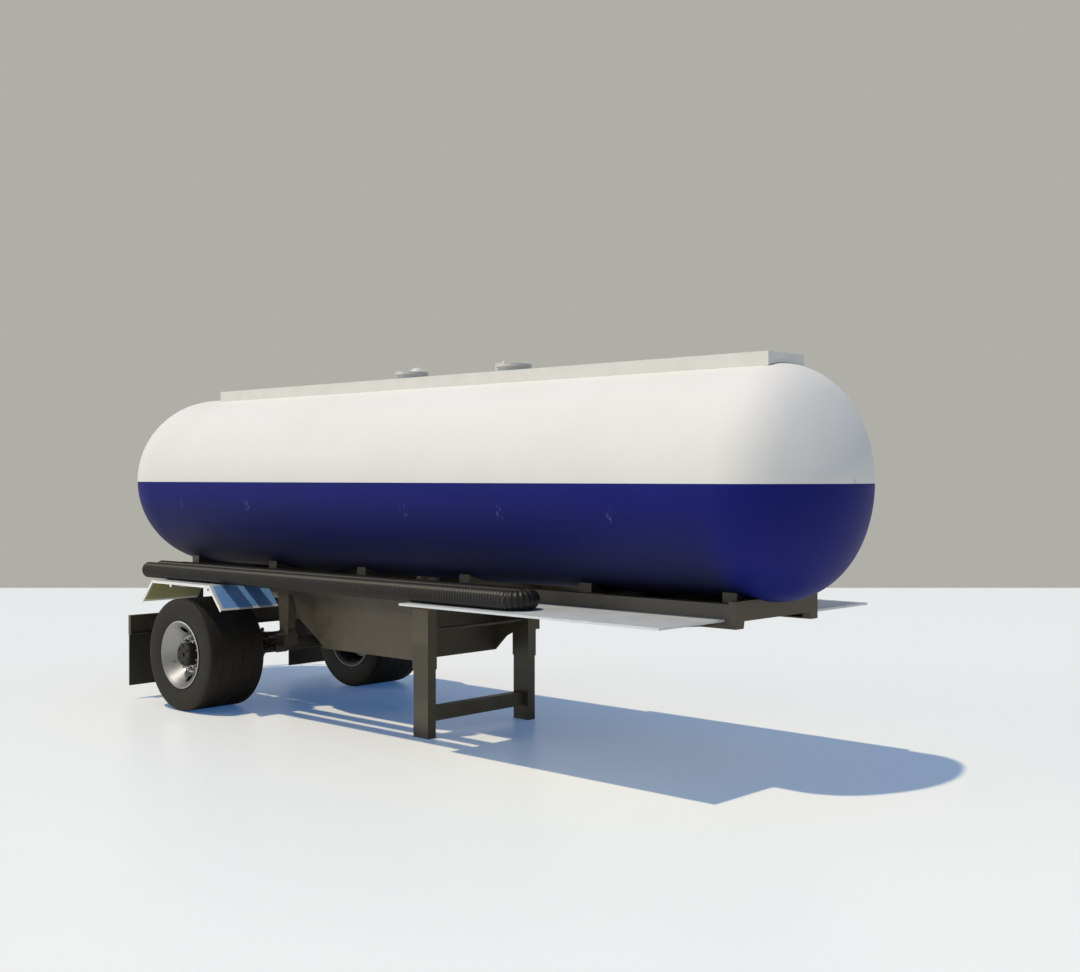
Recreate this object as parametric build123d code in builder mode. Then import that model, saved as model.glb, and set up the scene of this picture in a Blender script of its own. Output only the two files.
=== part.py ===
"""Single-axle tank semi-trailer, parked on its landing legs.

Millimetres. +X is forward, +Y is the left side, +Z is up. The origin lies on the
ground, below the middle of the tank.
"""

from build123d import *
from math import atan2, asin, cos, degrees, pi, radians, sin, sqrt
import os

os.makedirs("parts", exist_ok=True)

RIGHT, LEFT = -1, 1
SIDES = {"right": RIGHT, "left": LEFT}
seat_gap = 0.3            # between a curved piece and what it sits on

# Tank
tank_r = 847.0
tank_bottom_z = 1280.0
tank_z = tank_bottom_z + tank_r
tank_top_z = tank_z + tank_r
tank_rear_x = -3330.0     # where the barrel's straight wall ends
tank_front_x = 3590.0
head_flange = 110.0       # straight wall of a head, up to its weld
front_crown_r = 1151.0
front_knuckle_r = 476.0

# Main rails
rail_outer_y = 528.0
rail_w = 95.0
rail_t = 10.0
rail_top_z = 1293.0
rail_bottom_z = 1080.0
rail_front_bottom_z = 1123.0
rail_rear_x = -3350.0
rail_front_x = 3520.0
rail_step_x = 760.0       # where the rail starts to grow shallower
rail_step_len = 150.0
rail_web_y = rail_outer_y - rail_t

# Cradles under the tank
cradle_len = 120.0
cradle_t = 12.0
cradle_horn_y = 350.0
cradle_rear_x = -3330.0
cradle_pitch = 1335.0
cradle_count = 6
cradle_bottom_z = 1150.0
cradle_front_bottom_z = 1185.0

# Front cross beam and coupler
beam_t = 60.0
beam_bottom_z = 1174.0
beam_top_z = 1313.0
notch_slope = 10.0
coupler_t = 8.0
coupler_z = 1125.0
coupler_rear_x = 2100.0
coupler_bend_x = 3250.0
coupler_rise = 47.0
kingpin_x = 2670.0
kingpin_r = 25.4
kingpin_flange_r = 36.0
kingpin_neck_len = 40.0
kingpin_collar_len = 30.0
kingpin_flange_len = 14.0

# Side decks and their brackets
deck_rear_x = 952.0
deck_front_x = {"right": 3487.0, "left": 3580.0}
deck_outer_y = 1264.0
deck_top_z = 1188.0
deck_t = 6.0
deck_lip = 17.0
bracket_t = 8.0
bracket_root = 50.0
bracket_tip = 16.0
bracket_reach = 640.0
bracket_rear_x = 1100.0
bracket_pitch = 750.0
bracket_count = 4

# Wheels and axle
axle_x = -2080.0
tyre_r = 520.7
axle_z = tyre_r
tyre_outer_y = 1300.0
tyre_w = 590.0
tyre_mid_y = tyre_outer_y - tyre_w / 2
tyre_section = (          # inset from the widest line, radius
    (14.0, 321.0), (0.0, 433.0), (4.0, 498.0), (11.0, 513.5), (28.0, tyre_r))
bead_r = 288.6
rim_half_w = tyre_w / 2 - 5.0
rim_flange_r = 313.0
rim_flange_t = 17.0
rim_well_r = 272.0
rim_barrel_r = 262.0
disc_out_y = 1155.0
disc_t = 22.0
disc_in_y = disc_out_y - disc_t
cone_foot_r = 172.0       # where the disc turns into the cone of the dish
cone_top_r = 284.0
pilot_r = 110.3
hand_hole_r = 28.0
hand_hole_run = 24.0
hand_hole_circle_r = 228.0
hand_hole_count = 2
hand_hole_start = 100.0
hub_barrel_r = 106.0
hub_face_y = 1257.0
hub_flange_r = 168.0
hub_flange_t = 28.0
hub_rear_y = 990.0
drum_r = 213.0
drum_wall = 13.0
drum_open_y = 880.0
spindle_r = 38.0
spindle_fit = 0.05
spindle_end_y = 1185.0
axle_tube_r = 73.0
brake_plate_y = 864.0
brake_plate_t = 8.0
brake_plate_r = 200.0

# Suspension
spring_y = 480.0
spring_w = 75.0
leaf_t = 14.0
leaf_lengths = (1120.0, 1120.0, 860.0, 620.0, 380.0)   # top leaf first
spring_bottom_z = 604.0
spring_arc_r = 2600.0
hanger_x = 550.0          # from the axle to a spring's end
hanger_len = 170.0
hanger_side_t = 6.0
hanger_bottom_z = 690.0
rod_r = 22.0
clamp_plate_t = 16.0
u_bolt_r = 10.0
chamber_r = 82.0
chamber_len = 150.0
chamber_y = 285.0
chamber_x = 200.0         # from the axle to the chamber's rear end
chamber_z = 610.0
chamber_web_y = 231.0     # the web that carries the chamber's bracket
cam_x = 125.0             # from the axle to the brake cam's shaft
cam_drop = 25.0
cam_r = 19.0
slack_w = 44.0
slack_t = 18.0
push_rod_r = 9.0
radius_rod_y = 400.0
radius_rod_w = 36.0
radius_rod_pin_z = 712.0
rod_ring_r = 95.0

# Fenders
fender_inner_y = 670.0
fender_outer_y = 1290.0
fender_top_half = 480.0
fender_bottom_half = 670.0
fender_bottom_z = 975.0
fender_t = 4.0
fender_lip = 25.0
arm_r = 19.0
arm_x = 300.0             # from the axle to each arm

# Rear bar, flaps and lamps
bar_x = -3040.0
bar_t = 40.0
bar_bottom_z = 630.0
bar_top_z = 820.0
bar_half_y = 1257.0
bar_hanger_w = 90.0
flap_w = 585.0
flap_outer_y = bar_half_y - 10.0
flap_inner_y = flap_outer_y - flap_w
flap_bottom_z = 132.0
flap_t = 8.0
flap_overlap = 70.0
lamp_r = 52.0
lamp_depth = 28.0
lamp_pitch = 140.0
lamp_count = 3
lamp_first_y = flap_inner_y + 90.0

# Subframe between the suspension and the landing legs
plate_y = 494.0
plate_t = 12.0
plate_bottom_z = 607.0
plate_rear_x = -1420.0
panel_t = 8.0
panel_top = (-1305.0, 848.0)      # the sloped panel's upper edge
panel_foot_x = -919.0
subframe_front_x = 260.0

# Landing legs
leg_x = 521.0
leg_len = 192.0
leg_w = 101.0
leg_inner_y = 552.0
leg_wall = 6.0
leg_bottom_z = 570.0
leg_top_z = 1060.0
slide_top_z = 800.0
brace_bottom_z = 130.0
brace_h = 120.0
brace_len = 80.0
gearbox_len = 150.0
gearbox_w = 80.0
gearbox_h = 190.0
gearbox_z = 800.0
gearbox_boss_r = 26.0
gearbox_boss_len = 35.0
crank_len = 300.0
crank_w = 22.0
crank_t = 14.0
grip_r = 12.0
grip_len = 70.0
shaft_r = 16.0

# Spill box, walkway and manholes on top of the tank
box_rear_x = -2992.0
box_front_x = 3646.0
box_half_y = 232.0
box_top_z = tank_top_z + 69.0
box_wall = 8.0
tread_t = 6.0
tread_z = tank_top_z + 44.0
manholes = {              # middle, then the lid's dome: shift forward, half width, rise
    "rear": (-310.0, 72.0, 74.0, 38.0),
    "front": (974.0, 0.0, 110.0, 8.0),
}
neck_r = 138.0
neck_wall = 10.0
neck_flange_r = 152.0
neck_flange_t = 12.0
neck_top_z = tank_top_z + 126.0
lid_r = 148.0
lid_rim_t = 14.0
hinge_back = lid_r + 30.0
hinge_z = neck_top_z + 18.0
hinge_pin_r = 6.0
hinge_tongue_w = 36.0
hinge_ear_t = 10.0
hinge_r = 16.0

# Hoses, each folded once and laid on fender and deck
hose_r = 76.0
hose_outer_y = 1115.0
hose_fold_r = 110.0
hose_fold_x = 1950.0
hose_outer_end_x = -2910.0
hose_inner_end_x = -3030.0
cuff_r = 69.0
cuff_len = 100.0

# Outlet pipe under the tank
pipe_r = 57.0
pipe_z = 1005.0
pipe_x = -100.0
pipe_bend_r = 150.0
pipe_end_x = -3240.0
sump_r = 110.0
valve_r = 82.0
valve_len = 90.0
valve_neck_r = 62.0
valve_neck_len = 30.0
flange_r = 84.0
flange_t = 16.0
flange_hole_circle_r = 74.6
flange_hole_r = 5.6
flange_hole_count = 8
outlet_bore_r = 50.0
lever_len = 190.0
lever_w = 24.0
lever_t = 10.0
lever_hub_r = 16.0
lever_reach = 34.0        # from the valve's body to the lever
strap_start = 95.0        # from a cradle's rear face to the pipe's strap
strap_len = 20.0
strap_t = 6.0
strap_web = 50.0

# Air reservoir across the subframe
reservoir_x = 110.0
reservoir_z = 890.0
reservoir_r = 105.0
reservoir_half = 330.0
reservoir_dish = 40.0
reservoir_strap_y = 200.0
reservoir_strap_len = 40.0
cross_bar_w = 50.0
cross_bar_z = 1010.0

# Ladder behind the left half of the rear head
ladder_mid_y = 470.0
ladder_half_w = 150.0
ladder_tube_r = 14.0
ladder_gap = 25.0         # between the head and the stringer nearest to it
ladder_arc_r = (sqrt(tank_r ** 2 - (ladder_mid_y - ladder_half_w) ** 2)
                + ladder_tube_r + ladder_gap)
ladder_bottom_z = 940.0
ladder_rung_r = 11.0
ladder_rung_pitch = 290.0
ladder_rungs_below = 4
ladder_rungs_above = 2
ladder_top_angle = 55.0
ladder_pad_angles = (radians(-4), radians(50))

tank_axis = Axis((0, 0, tank_z), (1, 0, 0))
wheel_axis = Axis((axle_x, 0, axle_z), (0, 1, 0))


def write(piece, name):
    piece.part.label = name
    export_step(piece.part, f"parts/{name}.step")


def wheel_plane(side):
    """Local x runs outwards along the axle, local y is the radius."""
    return Plane(origin=(axle_x, 0, axle_z), x_dir=(0, side, 0), z_dir=(side, 0, 0))


def long_plane(y):
    """Local x is X and local y is Z; it extrudes towards -Y."""
    return Plane(origin=(0, y, 0), x_dir=(1, 0, 0), z_dir=(0, -1, 0))


def cross_plane(x):
    """Local x is Y and local y is Z; it extrudes towards +X."""
    return Plane(origin=(x, 0, 0), x_dir=(0, 1, 0), z_dir=(1, 0, 0))


# Tank barrel, solid because nothing shows its inside
barrel_rear_x = tank_rear_x + head_flange
barrel_front_x = tank_front_x - head_flange
with BuildPart() as tank_barrel:
    with BuildSketch(cross_plane(barrel_rear_x)):
        with Locations((0, tank_z)):
            Circle(tank_r)
    extrude(amount=barrel_front_x - barrel_rear_x)
write(tank_barrel, "tank_barrel")

# Front head: straight flange, knuckle arc and crown arc
crown_offset = sqrt((front_crown_r - front_knuckle_r) ** 2 - (tank_r - front_knuckle_r) ** 2)
front_crown_x = tank_front_x - crown_offset
front_tip_x = front_crown_x + front_crown_r
join_angle = atan2(tank_r - front_knuckle_r, crown_offset)
knuckle_mid = (join_angle + pi / 2) / 2
with BuildPart() as tank_front_head:
    with BuildSketch(long_plane(0)):
        with BuildLine():
            flange_start = (barrel_front_x, tank_z + tank_r)
            flange_end = (tank_front_x, tank_z + tank_r)
            knuckle_z = tank_z + tank_r - front_knuckle_r
            mid = (tank_front_x + front_knuckle_r * cos(knuckle_mid),
                   knuckle_z + front_knuckle_r * sin(knuckle_mid))
            join = (front_crown_x + front_crown_r * cos(join_angle),
                    tank_z + front_crown_r * sin(join_angle))
            crown_mid = (front_crown_x + front_crown_r * cos(join_angle / 2),
                         tank_z + front_crown_r * sin(join_angle / 2))
            Polyline((front_tip_x, tank_z), (barrel_front_x, tank_z), flange_start, flange_end)
            ThreePointArc(flange_end, mid, join)
            ThreePointArc(join, crown_mid, (front_tip_x, tank_z))
        make_face()
    revolve(axis=tank_axis)
write(tank_front_head, "tank_front_head")

# Rear head: straight flange and half a ball
with BuildPart() as tank_rear_head:
    with BuildSketch(long_plane(0)):
        with BuildLine():
            rear_top = (tank_rear_x, tank_z + tank_r)
            rear_tip = (tank_rear_x - tank_r, tank_z)
            arc_mid = (tank_rear_x - tank_r * cos(pi / 4), tank_z + tank_r * sin(pi / 4))
            Polyline(rear_tip, (barrel_rear_x, tank_z), (barrel_rear_x, tank_z + tank_r), rear_top)
            ThreePointArc(rear_top, arc_mid, rear_tip)
        make_face()
    revolve(axis=tank_axis)
write(tank_rear_head, "tank_rear_head")

# Main rails: channels that open inwards and grow shallower towards the front
rail_outline = [
    (rail_rear_x, rail_bottom_z),
    (rail_step_x, rail_bottom_z),
    (rail_step_x + rail_step_len, rail_front_bottom_z),
    (rail_front_x, rail_front_bottom_z),
    (rail_front_x, rail_top_z),
    (rail_rear_x, rail_top_z),
]
for side_name, side in SIDES.items():
    with BuildPart() as rail:
        with BuildSketch(long_plane(side * rail_outer_y)):
            Polygon(*rail_outline, align=None)
        extrude(amount=side * rail_w)
        with BuildSketch(long_plane(side * rail_web_y)):
            Polygon(*rail_outline, align=None)
            offset(amount=-rail_t)
        extrude(amount=side * rail_w, mode=Mode.SUBTRACT)
    write(rail, f"rail_{side_name}")

# Cradles: pressed cross-members whose top edge follows the tank
cradle_top_z = rail_top_z - rail_t
with BuildPart() as cradles:
    for i in range(cradle_count):
        x = cradle_rear_x + i * cradle_pitch
        bottom = cradle_front_bottom_z if i == cradle_count - 1 else cradle_bottom_z
        for grow, start, depth, mode in (
            (0, x, cradle_len, Mode.ADD),
            (-cradle_t, x, cradle_len - cradle_t, Mode.SUBTRACT),
        ):
            with BuildSketch(cross_plane(start)):
                with BuildLine():
                    Polyline(
                        (-rail_web_y, bottom), (rail_web_y, bottom), (rail_web_y, cradle_top_z),
                        (cradle_horn_y, cradle_top_z), (cradle_horn_y, tank_z),
                        (-cradle_horn_y, tank_z), (-cradle_horn_y, cradle_top_z),
                        (-rail_web_y, cradle_top_z), close=True)
                make_face()
                with Locations((0, tank_z)):
                    Circle(tank_r + seat_gap, mode=Mode.SUBTRACT)
                if grow:
                    offset(amount=grow)
            extrude(amount=depth, mode=mode)
write(cradles, "tank_cradles")

# Front cross beam, notched below and hollowed for the tank above
notch_y = rail_outer_y - rail_w
with BuildPart() as front_beam:
    with BuildSketch(cross_plane(rail_front_x)):
        with BuildLine():
            Polyline(
                (-rail_outer_y, rail_front_bottom_z), (-notch_y, rail_front_bottom_z),
                (-notch_y + notch_slope, beam_bottom_z), (notch_y - notch_slope, beam_bottom_z),
                (notch_y, rail_front_bottom_z), (rail_outer_y, rail_front_bottom_z),
                (rail_outer_y, beam_top_z), (-rail_outer_y, beam_top_z), close=True)
        make_face()
        with Locations((0, tank_z)):
            Circle(tank_r + seat_gap, mode=Mode.SUBTRACT)
    extrude(amount=beam_t)
write(front_beam, "front_beam")

# Coupler plate between the rails, turned up at its front
with BuildPart() as coupler_plate:
    with BuildSketch(long_plane(notch_y)):
        with BuildLine():
            Polyline(
                (coupler_rear_x, coupler_z), (coupler_bend_x, coupler_z),
                (rail_front_x, coupler_z + coupler_rise),
                (rail_front_x, coupler_z + coupler_rise + coupler_t),
                (coupler_bend_x, coupler_z + coupler_t),
                (coupler_rear_x, coupler_z + coupler_t), close=True)
        make_face()
    extrude(amount=2 * notch_y)
    with BuildSketch(Plane.XY.offset(coupler_z - 1)):
        with Locations((kingpin_x, 0)):
            Circle(kingpin_flange_r + seat_gap)
    extrude(amount=coupler_t + 2, mode=Mode.SUBTRACT)
write(coupler_plate, "coupler_plate")

# Kingpin: collar set in the coupler plate, neck and lower flange
kingpin_bottom_z = coupler_z - kingpin_collar_len - kingpin_neck_len - kingpin_flange_len
with BuildPart() as kingpin:
    with BuildSketch(Plane.XY.offset(kingpin_bottom_z)):
        with Locations((kingpin_x, 0)):
            Circle(kingpin_flange_r)
    extrude(amount=kingpin_flange_len)
    with BuildSketch(Plane.XY.offset(kingpin_bottom_z + kingpin_flange_len)):
        with Locations((kingpin_x, 0)):
            Circle(kingpin_r)
    extrude(amount=kingpin_neck_len)
    with BuildSketch(Plane.XY.offset(coupler_z - kingpin_collar_len)):
        with Locations((kingpin_x, 0)):
            Circle(kingpin_flange_r)
    extrude(amount=kingpin_collar_len + coupler_t)
write(kingpin, "kingpin")

# Side decks: thin plates with a turned-down lip on three edges
deck_w = deck_outer_y - rail_outer_y
for side_name, side in SIDES.items():
    deck_l = deck_front_x[side_name] - deck_rear_x
    deck_mid_x = deck_rear_x + deck_l / 2
    with BuildPart() as deck:
        with BuildSketch(Plane.XY.offset(deck_top_z)):
            with Locations((deck_mid_x, side * (rail_outer_y + deck_w / 2))):
                Rectangle(deck_l, deck_w)
        extrude(amount=-deck_lip)
        with BuildSketch(Plane.XY.offset(deck_top_z - deck_t)):
            with Locations((deck_mid_x, side * (rail_outer_y + (deck_w - deck_t) / 2))):
                Rectangle(deck_l - 2 * deck_t, deck_w - deck_t)
        extrude(amount=-deck_lip, mode=Mode.SUBTRACT)
    write(deck, f"deck_{side_name}")

# Deck brackets: tapered plates from the rails' webs out under the decks
bracket_top_z = deck_top_z - deck_t
with BuildPart() as deck_brackets:
    for i in range(bracket_count):
        for side in (RIGHT, LEFT):
            with BuildSketch(cross_plane(bracket_rear_x + i * bracket_pitch)):
                with BuildLine():
                    Polyline(
                        (side * rail_outer_y, bracket_top_z),
                        (side * rail_outer_y, bracket_top_z - bracket_root),
                        (side * (rail_outer_y + bracket_reach), bracket_top_z - bracket_tip),
                        (side * (rail_outer_y + bracket_reach), bracket_top_z), close=True)
                make_face()
            extrude(amount=bracket_t)
write(deck_brackets, "deck_brackets")

# Subframe plates under the rails, sloped behind and chamfered in front
plate_outline = [
    (plate_rear_x, rail_bottom_z),
    panel_top,
    (panel_foot_x, plate_bottom_z),
    (subframe_front_x, plate_bottom_z),
    (subframe_front_x + 140.0, 740.0),
    (leg_x, slide_top_z),
    (leg_x, rail_bottom_z),
]
for side_name, side in SIDES.items():
    with BuildPart() as subframe_plate:
        with BuildSketch(long_plane(side * (plate_y + plate_t / 2 - side * plate_t / 2))):
            Polygon(*plate_outline, align=None)
        extrude(amount=-plate_t)
    write(subframe_plate, f"subframe_plate_{side_name}")

# Subframe cross panels: an upright one in front and a sloped one behind
with BuildPart() as subframe_panels:
    with BuildSketch(long_plane(plate_y)):
        with BuildLine():
            Polyline(
                (subframe_front_x - panel_t, plate_bottom_z), (subframe_front_x, plate_bottom_z),
                (subframe_front_x, rail_bottom_z), (subframe_front_x - panel_t, rail_bottom_z),
                close=True)
        make_face()
        with BuildLine():
            Polyline(
                panel_top, (panel_foot_x, plate_bottom_z), (panel_foot_x + panel_t, plate_bottom_z),
                (panel_top[0] + panel_t, panel_top[1]), close=True)
        make_face()
    extrude(amount=2 * plate_y)
write(subframe_panels, "subframe_panels")

# Landing legs: outer tubes, inner legs, cross brace, brackets and gearbox
leg_mid_y = leg_inner_y + leg_w / 2
leg_points = [(leg_x, side * leg_mid_y) for side in (RIGHT, LEFT)]
with BuildPart() as leg_tubes:
    with BuildSketch(Plane.XY.offset(leg_bottom_z)):
        with Locations(*leg_points):
            Rectangle(leg_len, leg_w)
            Rectangle(leg_len - 2 * leg_wall, leg_w - 2 * leg_wall, mode=Mode.SUBTRACT)
    extrude(amount=leg_top_z - leg_bottom_z)
    with BuildSketch(Plane.XY.offset(leg_top_z)):
        with Locations(*leg_points):
            Rectangle(leg_len, leg_w)
    extrude(amount=leg_wall)
write(leg_tubes, "leg_tubes")

slide_len = leg_len - 2 * leg_wall - 2 * seat_gap
slide_w = leg_w - 2 * leg_wall - 2 * seat_gap
with BuildPart() as leg_slides:
    with BuildSketch(Plane.XY):
        with Locations(*leg_points):
            Rectangle(slide_len, slide_w)
    extrude(amount=slide_top_z)
write(leg_slides, "leg_slides")

brace_half_y = leg_mid_y - slide_w / 2
with BuildPart() as leg_brace:
    with BuildSketch(long_plane(brace_half_y)):
        with Locations((leg_x, brace_bottom_z + brace_h / 2)):
            Rectangle(brace_len, brace_h)
        with Locations((leg_x - leg_wall, brace_bottom_z + brace_h / 2)):
            Rectangle(brace_len, brace_h - 2 * leg_wall, mode=Mode.SUBTRACT)
    extrude(amount=2 * brace_half_y)
write(leg_brace, "leg_brace")

leg_bracket_half = 55.0
leg_bracket_gap = leg_inner_y - plate_y - plate_t
with BuildPart() as leg_brackets:
    for side in (RIGHT, LEFT):
        with BuildSketch(Plane.XY.offset(slide_top_z)):
            with Locations((leg_x - leg_bracket_half,
                            side * (plate_y + plate_t + leg_bracket_gap / 2))):
                Rectangle(2 * leg_bracket_half, leg_bracket_gap)
        extrude(amount=leg_top_z - slide_top_z)
write(leg_brackets, "leg_brackets")

gearbox_y = leg_inner_y + leg_w
with BuildPart() as leg_gearbox:
    with BuildSketch(Plane.XY.offset(gearbox_z)):
        with Locations((leg_x, gearbox_y + gearbox_w / 2)):
            RectangleRounded(gearbox_len, gearbox_w, 12)
    extrude(amount=gearbox_h)
    with BuildSketch(long_plane(gearbox_y + gearbox_w)):
        with Locations((leg_x, gearbox_z + gearbox_h / 2)):
            Circle(gearbox_boss_r)
    extrude(amount=-gearbox_boss_len)
write(leg_gearbox, "leg_gearbox")

crank_z = gearbox_z + gearbox_h / 2
crank_y = gearbox_y + gearbox_w + gearbox_boss_len
with BuildPart() as leg_crank:
    with BuildSketch(long_plane(crank_y)):
        with Locations((leg_x, crank_z)):
            Circle(crank_w - 2)
        with Locations((leg_x - crank_len / 2, crank_z)):
            Rectangle(crank_len, crank_w)
    extrude(amount=-crank_t)
    with BuildSketch(long_plane(crank_y + crank_t)):
        with Locations((leg_x - crank_len + grip_r, crank_z)):
            Circle(grip_r)
    extrude(amount=-grip_len)
write(leg_crank, "leg_crank")

with BuildPart() as leg_shaft:
    with BuildSketch(long_plane(leg_inner_y)):
        with Locations((leg_x + 40, crank_z)):
            Circle(shaft_r)
    extrude(amount=2 * leg_inner_y)
write(leg_shaft, "leg_cross_shaft")

# Axle: tube, brake plates and spindles
with BuildPart() as axle:
    for side in (RIGHT, LEFT):
        with BuildSketch(wheel_plane(side)):
            with BuildLine():
                Polyline(
                    (0, 0), (0, axle_tube_r), (brake_plate_y, axle_tube_r),
                    (brake_plate_y, brake_plate_r), (brake_plate_y + brake_plate_t, brake_plate_r),
                    (brake_plate_y + brake_plate_t, 60), (hub_rear_y - 15, 60),
                    (hub_rear_y - 10, spindle_r), (spindle_end_y, spindle_r),
                    (spindle_end_y, 0), close=True)
            make_face()
        revolve(axis=wheel_axis)
write(axle, "axle")

# Leaf springs: concentric leaves, the longest on top
spring_centre_z = spring_bottom_z + spring_arc_r
pack_h = leaf_t * len(leaf_lengths)
with BuildPart() as leaf_springs:
    for side in (RIGHT, LEFT):
        for i, length in enumerate(reversed(leaf_lengths)):
            outer = spring_arc_r - i * leaf_t
            inner = outer - leaf_t
            half = length / 2
            with BuildSketch(long_plane(side * spring_y + spring_w / 2)):
                with BuildLine():
                    ends = []
                    for r in (outer, inner):
                        drop = sqrt(r ** 2 - half ** 2)
                        left_end = (axle_x - half, spring_centre_z - drop)
                        right_end = (axle_x + half, spring_centre_z - drop)
                        ThreePointArc(left_end, (axle_x, spring_centre_z - r), right_end)
                        ends.append((left_end, right_end))
                    Line(ends[0][0], ends[1][0])
                    Line(ends[0][1], ends[1][1])
                make_face()
            extrude(amount=spring_w)
write(leaf_springs, "leaf_springs")

# Spring hangers: boxes open below, with the leaf's end between their sides
leaf_end_z = spring_centre_z - sqrt((spring_arc_r - pack_h) ** 2 - hanger_x ** 2)
hanger_w = spring_w + 2 * hanger_side_t + 2 * seat_gap
with BuildPart() as spring_hangers:
    for side in (RIGHT, LEFT):
        for end in (-1, 1):
            x = axle_x + end * hanger_x
            inner_x = x - end * hanger_len / 2
            outer_x = x + end * hanger_len / 2
            with BuildSketch(long_plane(side * spring_y + hanger_w / 2)):
                with BuildLine():
                    Polyline(
                        (inner_x + end * 30, hanger_bottom_z), (outer_x - end * 20, hanger_bottom_z),
                        (outer_x, rail_bottom_z), (inner_x, rail_bottom_z), close=True)
                make_face()
            extrude(amount=hanger_w)
            with BuildSketch(long_plane(side * spring_y + spring_w / 2 + seat_gap)):
                with BuildLine():
                    Polyline(
                        (inner_x - end * 50, hanger_bottom_z - 10),
                        (outer_x + end * 50, hanger_bottom_z - 10),
                        (outer_x + end * 50, leaf_end_z + 12),
                        (inner_x - end * 50, leaf_end_z + 12), close=True)
                make_face()
            extrude(amount=spring_w + 2 * seat_gap, mode=Mode.SUBTRACT)
write(spring_hangers, "spring_hangers")

# Axle clamps: seat, top plate, bottom plate and four bolts on each side
clamp_half_len = axle_tube_r + u_bolt_r + 2.0
clamp_plate_half = clamp_half_len + u_bolt_r + 5.0
clamp_bottom_z = axle_z - axle_tube_r - clamp_plate_t
leaf_rise = clamp_plate_half ** 2 / (2 * (spring_arc_r - pack_h))
clamp_top_z = spring_bottom_z + pack_h + leaf_rise + seat_gap
with BuildPart() as axle_clamps:
    for side in (RIGHT, LEFT):
        with BuildSketch(long_plane(side * spring_y + spring_w / 2)):
            with Locations((axle_x, (axle_z + spring_bottom_z) / 2)):
                Rectangle(2 * clamp_half_len - 60, spring_bottom_z - axle_z)
            with Locations((axle_x, axle_z)):
                Circle(axle_tube_r + seat_gap, mode=Mode.SUBTRACT)
        extrude(amount=spring_w)
        for z in (clamp_top_z, clamp_bottom_z):
            with BuildSketch(Plane.XY.offset(z)):
                with Locations((axle_x, side * spring_y)):
                    Rectangle(2 * clamp_plate_half, spring_w + 45)
            extrude(amount=clamp_plate_t)
        with BuildSketch(Plane.XY.offset(clamp_bottom_z)):
            with Locations((axle_x, side * spring_y)):
                with GridLocations(2 * clamp_half_len, spring_w + 22, 2, 2):
                    Circle(u_bolt_r)
        extrude(amount=clamp_top_z - clamp_bottom_z + clamp_plate_t + 18)
write(axle_clamps, "axle_clamps")

# Brake chambers on brackets in front of the axle
with BuildPart() as brake_chambers:
    for side in (RIGHT, LEFT):
        with BuildSketch(cross_plane(axle_x + chamber_x)):
            with Locations((side * chamber_y, chamber_z)):
                Circle(chamber_r)
        extrude(amount=chamber_len)
        with BuildSketch(cross_plane(axle_x + chamber_x - 12)):
            with Locations((side * chamber_y, (chamber_z + axle_z) / 2)):
                Rectangle(130, 190)
        extrude(amount=12)
        with BuildSketch(long_plane(side * chamber_web_y + 6)):
            with BuildLine():
                Polyline((axle_x, axle_z), (axle_x + chamber_x - 12, axle_z - 50),
                         (axle_x + chamber_x - 12, chamber_z + 40), (axle_x, axle_z + 70), close=True)
            make_face()
            with Locations((axle_x, axle_z)):
                Circle(axle_tube_r + seat_gap, mode=Mode.SUBTRACT)
        extrude(amount=12)
write(brake_chambers, "brake_chambers")

# Brake cams: shaft from the brake plate, slack arm, and push rod from the chamber
cam_z = axle_z - cam_drop
with BuildPart() as brake_cams:
    for side in (RIGHT, LEFT):
        with BuildSketch(long_plane(side * brake_plate_y)):
            with Locations((axle_x + cam_x, cam_z)):
                Circle(cam_r)
        extrude(amount=side * (brake_plate_y - chamber_y))
        with BuildSketch(long_plane(side * chamber_y + slack_t / 2)):
            with Locations((axle_x + cam_x, (cam_z + chamber_z) / 2)):
                RectangleRounded(slack_w, chamber_z - cam_z + slack_w, slack_w / 2 - 1)
        extrude(amount=slack_t)
        with BuildSketch(cross_plane(axle_x + cam_x)):
            with Locations((side * chamber_y, chamber_z)):
                Circle(push_rod_r)
        extrude(amount=chamber_x - 12 - cam_x)
write(brake_cams, "brake_cams")

# Radius rods: a ring round the axle, a bar, and a pin in the front hanger's side
rod_start = (axle_x + rod_ring_r - 12, axle_z + 15)
rod_end = (axle_x + hanger_x, radius_rod_pin_z)
rod_dx = rod_end[0] - rod_start[0]
rod_dz = rod_end[1] - rod_start[1]
hanger_face_y = spring_y - hanger_w / 2
with BuildPart() as radius_rods:
    for side in (RIGHT, LEFT):
        with BuildSketch(long_plane(side * radius_rod_y + radius_rod_w / 2)):
            with Locations((axle_x, axle_z)):
                Circle(rod_ring_r)
            with Locations(((rod_start[0] + rod_end[0]) / 2, (rod_start[1] + rod_end[1]) / 2)):
                Rectangle(sqrt(rod_dx ** 2 + rod_dz ** 2), radius_rod_w - 4,
                          rotation=degrees(atan2(rod_dz, rod_dx)))
            with Locations(rod_end):
                Circle(radius_rod_w / 2)
            with Locations((axle_x, axle_z)):
                Circle(axle_tube_r + seat_gap, mode=Mode.SUBTRACT)
        extrude(amount=radius_rod_w)
        with BuildSketch(long_plane(side * hanger_face_y)):
            with Locations(rod_end):
                Circle(radius_rod_w / 4)
        extrude(amount=side * (hanger_face_y - radius_rod_y))
write(radius_rods, "radius_rods")

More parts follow.
